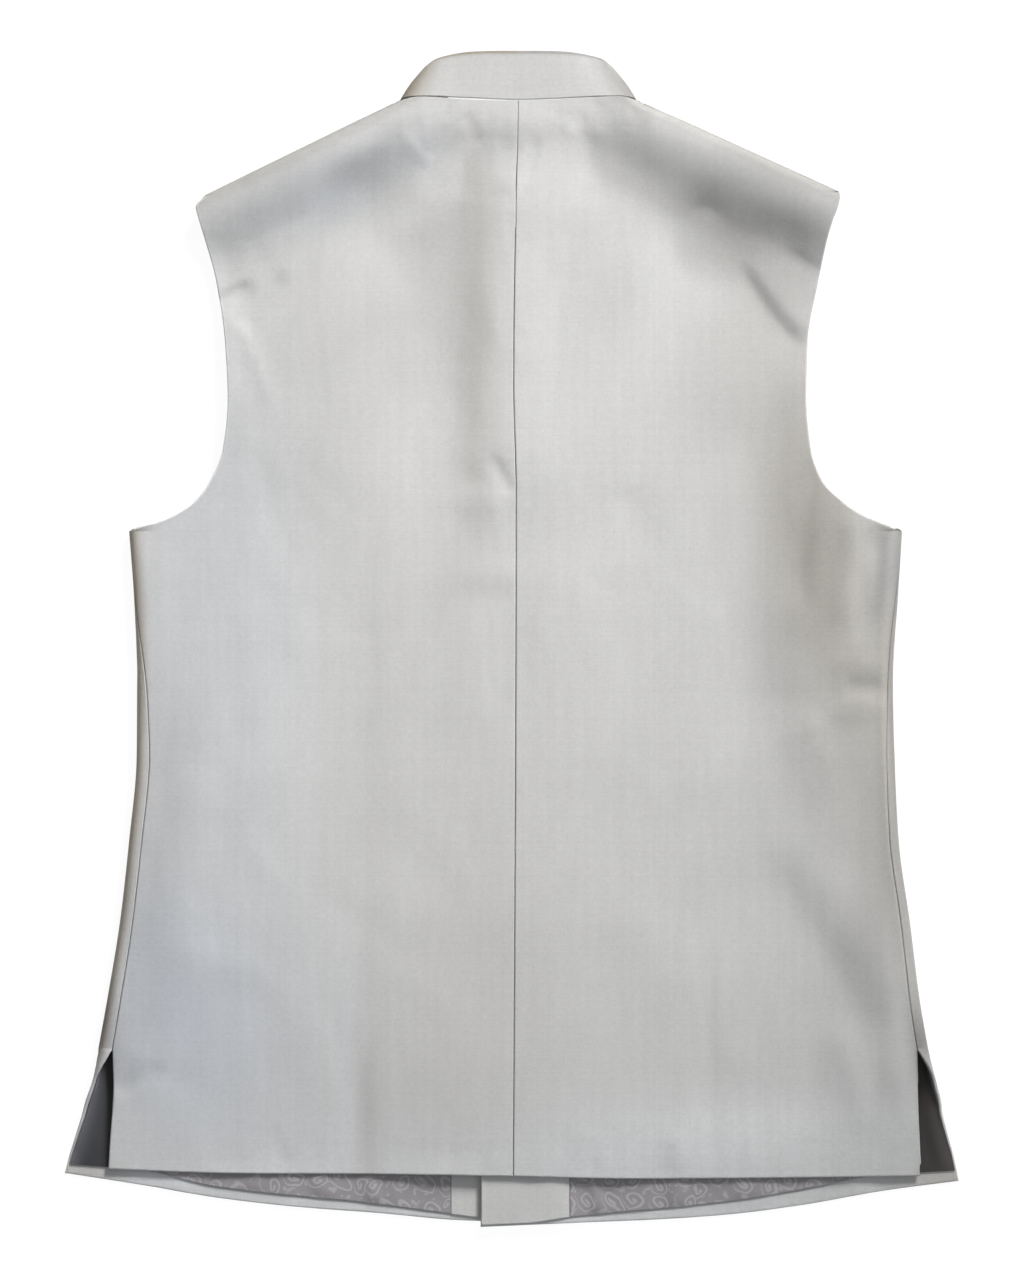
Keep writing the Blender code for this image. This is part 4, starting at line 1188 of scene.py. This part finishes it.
def button_mesh(material):
    """A round button with a rim, a dish and four holes, its face down."""
    rim_in = BUTTON_RADIUS - BUTTON_RIM
    face = tuple((rim_in + out, deep) for out, deep in BUTTON_FACE)
    edge = BUTTON_RADIUS - BUTTON_CORNER
    rounded = tuple(
        (edge + BUTTON_CORNER * math.sin(turn), BUTTON_CORNER * (1 - math.cos(turn)))
        for turn in np.linspace(0.0, math.pi / 2, 5)
    )
    back = tuple((radius, BUTTON_THICK - height) for radius, height in rounded[::-1])
    points, faces = lathe((*face, *rounded, *back), BUTTON_SIDES)
    button = add_solid("button", points, faces, material)
    low, high = BUTTON_DISH - 1.0, BUTTON_THICK + 1.0
    drills = []
    for x in (-HOLE_AT, HOLE_AT):
        for y in (-HOLE_AT, HOLE_AT):
            drill, drill_faces = lathe(((HOLE_RADIUS, low), (HOLE_RADIUS, high)), HOLE_SIDES)
            drills.append((drill + (x, y, 0.0), drill_faces))
    drill = add_solid("drill", *gathered(drills), material)
    cut = button.modifiers.new("holes", "BOOLEAN")
    cut.operation = "DIFFERENCE"
    cut.object = drill
    shaped = button.evaluated_get(bpy.context.evaluated_depsgraph_get())
    mesh = bpy.data.meshes.new_from_object(shaped)
    mesh.set_sharp_from_angle(angle=math.radians(SHARP_FROM))
    for extra in (button, drill):
        bpy.data.objects.remove(extra)
    return mesh


def button_thread(y):
    """The two stitches that hold one button, each of two threads."""
    parts = []
    for x in (-HOLE_AT, HOLE_AT):
        for beside in (-THREAD_RADIUS, THREAD_RADIUS):
            start = [(x + beside, y - HOLE_AT + into, z) for into, z in THREAD_BEND]
            end = [(x + beside, y + HOLE_AT - into, z) for into, z in THREAD_BEND[::-1]]
            parts.append(tube([*start, (x + beside, y, THREAD_LOW - THREAD_SAG), *end], THREAD_RADIUS))
    return parts


def buttonhole(y):
    """Close stitches round the slit that one button goes through, on the left front's outer face."""
    random = np.random.default_rng(int(y) + STITCH_SEED)
    reach = SLIT_HALF_WIDTH + STITCH_LENGTH
    paths = []
    for x in np.arange(SLIT_FROM_X, SLIT_TO_X, STITCH_EVERY):
        for across in (-1, 1):
            lean = random.uniform(-STITCH_LEAN, STITCH_LEAN)
            far = reach + random.uniform(-STITCH_UNEVEN, STITCH_UNEVEN)
            near = (x - lean, y + across * SLIT_HALF_WIDTH, STITCH_Z)
            middle = (x, y + across * (SLIT_HALF_WIDTH + far) / 2, STITCH_Z - STITCH_BEND)
            paths.append((near, middle, (x + lean, y + across * far, STITCH_Z + STITCH_END)))
    for x, out in ((SLIT_FROM_X, -1), (SLIT_TO_X, 1)):
        for turn in np.linspace(-FAN_HALF_ANGLE, FAN_HALF_ANGLE, FAN_COUNT):
            away, up = out * math.cos(turn), math.sin(turn)
            start = (x + FAN_START * away, y + FAN_START * up, STITCH_Z)
            paths.append((start, (x + reach * away, y + reach * up, STITCH_Z + STITCH_END)))
    return [tube(path, STITCH_RADIUS, STITCH_SIDES) for path in paths]


def add_fastenings():
    """The buttons, the threads that hold them, and the buttonholes' stitches."""
    thread = thread_material()
    mesh = button_mesh(horn_material())
    threads, stitches = [], []
    for number in range(BUTTON_COUNT):
        y = BUTTON_TOP_Y - BUTTON_SPACING * number
        piece = add_object("round_button_%d" % (number + 1), mesh)
        piece.location = (0.0, y * MM, 0.0)
        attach(piece, "root")
        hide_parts("button_%d" % (number + 1))
        threads += button_thread(y)
        stitches += buttonhole(y)
    for name, parts in (("button_threads", threads), ("buttonhole_stitches", stitches)):
        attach(add_solid(name, *gathered(parts), thread), "root")


def add_cloth(node, grid, towards, thick, materials, rests_on, slot="linen", **settings):
    """Makes the cloth that replaces a node and rides it on the root; rests_on is not used."""
    name = ("cloth_" if slot == "linen" else "silk_") + node
    piece = shell(name, grid, towards, thick, materials, **settings)
    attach(piece, "root")
    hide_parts(node)


# Materials


class Wire:
    """A node's output. Adding, taking away, multiplying and dividing wires adds math nodes."""

    def __init__(self, nodes, socket):
        self.nodes = nodes
        self.socket = socket

    def __add__(self, other):
        return self.nodes.math("ADD", self, other)

    def __sub__(self, other):
        return self.nodes.math("SUBTRACT", self, other)

    def __rsub__(self, other):
        return self.nodes.math("SUBTRACT", other, self)

    def __mul__(self, other):
        return self.nodes.math("MULTIPLY", self, other)

    def __truediv__(self, other):
        return self.nodes.math("DIVIDE", self, other)


class Nodes:
    """Builds the nodes of a material or world: each call adds one node or a few, and gives a wire."""

    def __init__(self, owner, shader="Principled BSDF"):
        owner.use_nodes = True
        self.owner = owner
        self.tree = owner.node_tree
        self.shader = self.tree.nodes[shader]

    def put(self, socket, value):
        if isinstance(value, Wire):
            self.tree.links.new(value.socket, socket)
        else:
            socket.default_value = value

    def set(self, **values):
        """Sets the shader's own inputs, with _ for a space in a name."""
        for name, value in values.items():
            self.put(self.shader.inputs[name.replace("_", " ").title().replace("Ior", "IOR")], value)

    def node(self, kind, inputs=None, **settings):
        """Adds a node with these settings, and with values or wires on these inputs."""
        node = self.tree.nodes.new("ShaderNode" + kind)
        for name, value in settings.items():
            setattr(node, name, value)
        for key, value in (inputs or {}).items():
            self.put(node.inputs[key], value)
        return node

    def wire(self, kind, output, inputs=None, **settings):
        """Adds a node, and gives one of its outputs."""
        return Wire(self, self.node(kind, inputs, **settings).outputs[output])

    def math(self, operation, *values):
        return self.wire("Math", 0, dict(enumerate(values)), operation=operation)

    def vector(self, operation, *values, output=0):
        return self.wire("VectorMath", output, dict(enumerate(values)), operation=operation)

    def join(self, x, y, z=0.0):
        return self.wire("CombineXYZ", 0, {0: x, 1: y, 2: z})

    def split(self, vector):
        return [Wire(self, output) for output in self.node("SeparateXYZ", {0: vector}).outputs]

    def stored(self, name):
        """The two values that a mesh holds at each point under this name."""
        return self.split(self.wire("Attribute", "Vector", attribute_name=name))[:2]

    def place(self):
        """Where each point lies in its object, moved so that no two objects look the same."""
        return self.vector("ADD", self.wire("TexCoord", "Object"), self.wire("ObjectInfo", "Location"))

    def paint_shading(self, colour):
        """A colour made darker and warmer, or lighter and cooler, by the mesh's painted light and shade."""
        darker, warmer = self.stored("tint")
        light = 1.0 - darker
        tint = self.join(light * (warmer * WARM_RED + 1.0), light, light * (warmer * WARM_BLUE + 1.0))
        return self.vector("MULTIPLY", colour, tint)

    def noise(self, vector, scale=1.0, detail=2.0, roughness=0.5):
        values = {"Vector": vector, "Scale": scale, "Detail": detail, "Roughness": roughness}
        return self.wire("TexNoise", "Fac", values)

    def white(self, value):
        """A random number for each whole number."""
        return self.wire("TexWhiteNoise", "Value", {"W": value}, noise_dimensions="1D")

    def arch(self, place):
        """0 at each whole number, with a round rise to 1 between them."""
        return self.math("SINE", self.math("FRACT", place) * math.pi)

    def wave(self, place, length):
        return self.math("SINE", place * (2 * math.pi / length))

    def steps(self, value, low, high):
        """0 below low, 1 above high and a smooth step between."""
        values = {"Value": value, "From Min": low, "From Max": high}
        return self.wire("MapRange", "Result", values, interpolation_type="SMOOTHSTEP")

    def colour(self, factor, low, high):
        """A colour between two others."""
        values = {"Factor": factor, "A": (*low, 1.0), "B": (*high, 1.0)}
        return self.wire("Mix", "Result", values, data_type="RGBA", clamp_factor=True)

    def bump(self, height, strength, distance):
        values = {"Height": height, "Strength": strength, "Distance": distance}
        self.set(normal=self.wire("Bump", "Normal", values))


WARM_RED = 0.026
WARM_BLUE = -0.042

# Linen: sizes in metres along the cloth, and how much each part of the weave adds to the cloth's tone
THREAD = 0.00062
THREAD_HIGH = 0.55
THREAD_UNDER = 0.55
THREAD_TONE = 0.06
SLUB_LONG = 0.0042
SLUB_TONE = 0.36
PAINTED_WEAVE_SHADE = 0.14
MOTTLE_SCALE = 38.0
MOTTLE_TONE = 0.10
FIBRE_SCALE = 2600.0
FIBRE_TONE = 0.10
FIBRE_RELIEF = 0.35
STREAK_LONG = 8.0
STREAK_SCALE = 170.0
STREAK_TONE = 0.26
CLOTH_DARK = (0.375, 0.375, 0.375)
CLOTH_LIGHT = (0.585, 0.585, 0.585)


def linen_material():
    """Plain weave of uneven threads: each thread has its own tone, with thicker slubs along it."""
    nodes = Nodes(bpy.data.materials.new("linen"))
    across, along = nodes.stored("cloth")
    warp_place = across / THREAD
    weft_place = along / THREAD
    warp_number = nodes.math("FLOOR", warp_place)
    weft_number = nodes.math("FLOOR", weft_place)
    over = nodes.math("MODULO", nodes.math("ABSOLUTE", warp_number + weft_number), 2.0)
    # A slub runs along a thread: noise that is long one way and as narrow as a thread the other way.
    # The last number in each join sets its noise apart from the others
    warp_slub = nodes.noise(nodes.join(warp_number, along / SLUB_LONG, 3.1), detail=1.0)
    weft_slub = nodes.noise(nodes.join(across / SLUB_LONG, weft_number, 7.7), detail=1.0)
    # Each thread goes over the next one that crosses it, then under, where it lies lower
    warp_level = over * THREAD_UNDER + (1.0 - THREAD_UNDER)
    weft_level = 1.0 - over * THREAD_UNDER
    warp_height = nodes.arch(warp_place) * (warp_slub + THREAD_HIGH) * warp_level
    weft_height = nodes.arch(weft_place) * (weft_slub + THREAD_HIGH) * weft_level
    height = nodes.math("MAXIMUM", warp_height, weft_height)
    mottle = nodes.noise(nodes.join(across, along), MOTTLE_SCALE, detail=3.0, roughness=0.55)
    fibre = nodes.noise(nodes.join(across, along, 1.3), FIBRE_SCALE, roughness=0.6)
    streak = nodes.noise(nodes.join(across, along / STREAK_LONG, 5.2), STREAK_SCALE)
    tone = (nodes.white(warp_number) + nodes.white(weft_number + 0.5)) * THREAD_TONE
    # Painted shade of the weave: each thread's crest is made lighter and the hollows between threads darker
    tone = tone + (warp_slub + weft_slub) * SLUB_TONE + height * PAINTED_WEAVE_SHADE
    tone = tone + mottle * MOTTLE_TONE + fibre * FIBRE_TONE + (streak - 0.5) * STREAK_TONE
    nodes.set(base_color=nodes.paint_shading(nodes.colour(tone, CLOTH_DARK, CLOTH_LIGHT)), roughness=0.86)
    nodes.set(metallic=0.0, specular_ior_level=0.25, sheen_weight=0.12, sheen_roughness=0.45)
    nodes.bump(height + fibre * FIBRE_RELIEF, strength=0.55, distance=0.00022)
    return nodes.owner


# Lining: the scrolls' sizes are counted in cells. A pair is where a soft step starts and ends
SILK_DARK = (0.215, 0.204, 0.219)
SILK_LIGHT = (0.385, 0.374, 0.391)
SCROLL_CELL = 0.0155
SCROLL_UNEVEN = 0.62
SCROLL_BEND_SCALE = 1.1
SCROLL_BENT = (0.9, -0.7)
SCROLL_LINE = (-0.15, 0.95)
SCROLL_PITCH = 0.27
SCROLL_END = (0.40, 0.50)
SCROLL_DOT = (0.05, 0.11)
LEAF_SCALE = 3.4
LEAF_STEP = (0.56, 0.66)
LEAF_TONE = 0.8
SCROLL_FADE = 1.6
SCROLL_TONE = 0.62
SCROLL_RELIEF = 0.8
SCROLL_GLOSS = 0.12
TWILL = 0.00045
TWILL_TONE = 0.05
TWILL_RELIEF = 0.2
SHADE_SCALE = 55.0
SHADE_TONE = 0.30


def scrolls(nodes, across, along):
    """Light lines that curl round uneven places about one scroll apart, with a dot in each middle."""
    place = nodes.join(across / SCROLL_CELL, along / SCROLL_CELL)
    bent = nodes.noise(place, SCROLL_BEND_SCALE, detail=1.0) - 0.5
    shifted = nodes.vector("ADD", place, nodes.join(bent * SCROLL_BENT[0], bent * SCROLL_BENT[1]))
    values = {"Vector": shifted, "Scale": 1.0, "Randomness": SCROLL_UNEVEN}
    cell = nodes.node("TexVoronoi", values, voronoi_dimensions="2D")
    away = Wire(nodes, cell.outputs["Distance"])
    x, y, _ = nodes.split(nodes.vector("SUBTRACT", shifted, Wire(nodes, cell.outputs["Position"])))
    turns = away * (2 * math.pi / SCROLL_PITCH) + nodes.math("ARCTAN2", y, x)
    line = nodes.steps(nodes.math("SINE", turns), *SCROLL_LINE)
    inside = 1.0 - nodes.steps(away, *SCROLL_END)
    dot = 1.0 - nodes.steps(away, *SCROLL_DOT)
    leaves = nodes.steps(nodes.noise(place, LEAF_SCALE, detail=1.0), *LEAF_STEP) * (1.0 - inside)
    return nodes.math("MAXIMUM", nodes.math("MAXIMUM", line * inside, dot), leaves * LEAF_TONE)


def lining_material():
    """Satin with woven scrolls, a little lighter than their ground, and plain where painted shade darkens
    it.
    """
    nodes = Nodes(bpy.data.materials.new("patterned lining"))
    across, along = nodes.stored("cloth")
    plain = 1.0 - nodes.stored("tint")[0] * SCROLL_FADE
    lines = scrolls(nodes, across, along) * nodes.math("MAXIMUM", plain, 0.0)
    twill = nodes.wave(across + along, TWILL)
    shade = nodes.noise(nodes.join(across, along), SHADE_SCALE)
    tone = lines * SCROLL_TONE + twill * TWILL_TONE + shade * SHADE_TONE
    nodes.set(base_color=nodes.paint_shading(nodes.colour(tone, SILK_DARK, SILK_LIGHT)))
    nodes.set(roughness=0.50 - lines * SCROLL_GLOSS, specular_ior_level=0.5, metallic=0.0)
    nodes.set(sheen_weight=0.15, sheen_roughness=0.4)
    nodes.bump(lines * SCROLL_RELIEF + twill * TWILL_RELIEF, strength=0.4, distance=0.00015)
    return nodes.owner


HORN_DARK = (0.17, 0.17, 0.19)
HORN_LIGHT = (0.43, 0.43, 0.45)
HORN_STREAKS = (420.0, 110.0, 420.0)
HORN_SCRATCHES = (900.0, 5200.0, 900.0)
HORN_CLOUDS = 130.0
HORN_CLOUD_TONE = 0.4
HORN_STREAK_TONE = 0.6
HORN_TONES = (0.34, 0.66)


def horn_material():
    """Polished horn: cloudy streaks, and a gloss with fine scratches."""
    nodes = Nodes(bpy.data.materials.new("button"))
    place = nodes.place()
    streaks = nodes.noise(nodes.vector("MULTIPLY", place, HORN_STREAKS), detail=3.0, roughness=0.6)
    scratches = nodes.noise(nodes.vector("MULTIPLY", place, HORN_SCRATCHES), detail=1.0)
    tone = nodes.noise(place, HORN_CLOUDS) * HORN_CLOUD_TONE + streaks * HORN_STREAK_TONE
    tone = nodes.steps(tone, *HORN_TONES)
    nodes.set(base_color=nodes.colour(tone, HORN_DARK, HORN_LIGHT), metallic=0.0)
    nodes.set(roughness=scratches * 0.2 + 0.25, specular_ior_level=0.5)
    nodes.bump(scratches, strength=0.2, distance=0.00006)
    return nodes.owner


PLY = 0.00034
PLY_TONE = 0.3
LOOSE_FIBRES = 5200.0
THREAD_DARK = (0.23, 0.23, 0.24)
THREAD_LIGHT = (0.44, 0.44, 0.45)


def thread_material():
    """Twisted thread: slanting plies, with loose fibres between them."""
    nodes = Nodes(bpy.data.materials.new("thread"))
    place = nodes.place()
    x, y, z = nodes.split(place)
    tone = nodes.wave(x + y + z, PLY) * PLY_TONE + nodes.noise(place, LOOSE_FIBRES)
    nodes.set(base_color=nodes.colour(tone, THREAD_DARK, THREAD_LIGHT), metallic=0.0)
    nodes.set(roughness=0.68, sheen_weight=0.2, sheen_roughness=0.4)
    nodes.bump(tone, strength=0.5, distance=0.00008)
    return nodes.owner


# Camera, lights and floor
CAMERA_HEIGHT = 5000.0
VIEW_LONG = 863.4
VIEW_MIDDLE = (0.2, -0.4)
VIEW_LEVEL = 8.0
SENSOR = 36.0
FLOOR_SIZE = 12000.0


def add_camera():
    """Looks straight down, so that the photograph's frame covers the same stretch of the cloth."""
    data = bpy.data.cameras.new("camera")
    data.sensor_width = SENSOR
    data.lens = SENSOR * (CAMERA_HEIGHT - VIEW_LEVEL) / VIEW_LONG
    data.clip_start = 0.05
    data.clip_end = 50.0
    camera = add_object("camera", data)
    camera.location = Vector((*VIEW_MIDDLE, CAMERA_HEIGHT)) * MM
    bpy.context.scene.camera = camera


Lamp = namedtuple("Lamp", "name x y z aim_x aim_y wide spread power colour")
LAMPS = (
    Lamp("low key from the top right", 1296, 2390, 1450, -80, 100, 1080, 32, 9.3, (1.0, 0.985, 0.965)),
    Lamp("cool fill from the lower right", 1500, -1800, 1100, 0, 0, 1400, 180, 7.0, (0.74, 0.90, 1.0)),
)
# The surroundings are pale overhead, and dim and warm near the ground, most of all to the left
DIM_SIDE = (0.075, 0.062, 0.050)
PALE_SIDE = (0.50, 0.505, 0.51)
PALE_TOWARDS = (0.14, 0.05, 0.80)
PALE_MORE = 0.08


def add_lights():
    for lamp in LAMPS:
        data = bpy.data.lights.new(lamp.name, "AREA")
        data.size = lamp.wide * MM
        data.spread = math.radians(lamp.spread)
        data.energy = lamp.power
        data.color = lamp.colour
        light = add_object(lamp.name, data)
        light.location = Vector((lamp.x, lamp.y, lamp.z)) * MM
        aim = Vector((lamp.aim_x, lamp.aim_y, 0.0)) * MM
        light.rotation_euler = (aim - light.location).to_track_quat("-Z", "Y").to_euler()


def add_surroundings():
    world = bpy.data.worlds.new("soft studio")
    nodes = Nodes(world, "Background")
    rise = nodes.vector("DOT_PRODUCT", nodes.wire("TexCoord", "Generated"), PALE_TOWARDS, output="Value")
    nodes.set(color=nodes.colour(rise + PALE_MORE, DIM_SIDE, PALE_SIDE))
    bpy.context.scene.world = world


def add_floor():
    nodes = Nodes(bpy.data.materials.new("floor"))
    nodes.set(base_color=(0.10, 0.10, 0.10, 1.0), roughness=0.9, specular_ior_level=0.1)
    nodes.set(emission_color=(1.0, 1.0, 1.0, 1.0), emission_strength=0.94)
    half = FLOOR_SIZE / 2
    points = np.array([(-half, -half, 0.0), (half, -half, 0.0), (half, half, 0.0), (-half, half, 0.0)])
    add_mesh("floor", points, [(0, 1, 2, 3)], [nodes.owner])


UP = (0, 0, 1)
DOWN = (0, 0, -1)


def main():
    """Builds every piece, the floor, the lights and the camera."""
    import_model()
    bpy.context.scene.view_settings.view_transform = "Standard"
    linen = linen_material()
    silk = lining_material()
    under = WALL + LAID_GAP
    for side in (LEFT, RIGHT):
        name = SIDE_NAME[side]
        on_front = ["cloth_front_" + name]
        back = back_grid(side)
        lined = above_edge(back.points, BACK_HEM) > TURNED_HEM
        add_cloth("back_" + name, back, UP, WALL, [linen, silk], on_front, lined=lined)
        front = front_grid(side)
        lined = front.points[..., 1] > LINED_TO_Y + FRONT_STEP
        add_cloth("front_" + name, front, DOWN, WALL, [linen, silk], ["floor"], lined=lined)
        seam = np.full(len(LAID_ROWS), FACING_SEAM_X[side])
        edge = front_outer(side, LAID_ROWS, LINING_RISES[side]) - LINING_EDGE_IN[side]
        inner = seam + SEAM_GAP / 2
        lining = laid_grid(side, edge, inner, LINING_RISES[side], LINING_COLUMNS, LINING_CREASES)
        add_cloth("lining_" + name, lining, DOWN, LINING, [silk], on_front, "lining", under=under)
        inner = np.full(len(LAID_ROWS), FACING_EDGE_IN - FRONT_OVERLAP)
        facing = laid_grid(side, seam - SEAM_GAP / 2, inner, FACING_RISES[side], FACING_COLUMNS)
        add_cloth("facing_" + name, facing, DOWN, FACING, [linen], on_front, under=under)
    collar = collar_grid()
    add_cloth("collar", collar, UP, COLLAR_WALL, [linen], ["cloth_front_left", "cloth_front_right"])
    add_fastenings()
    add_floor()
    add_lights()
    add_surroundings()
    add_camera()


main()
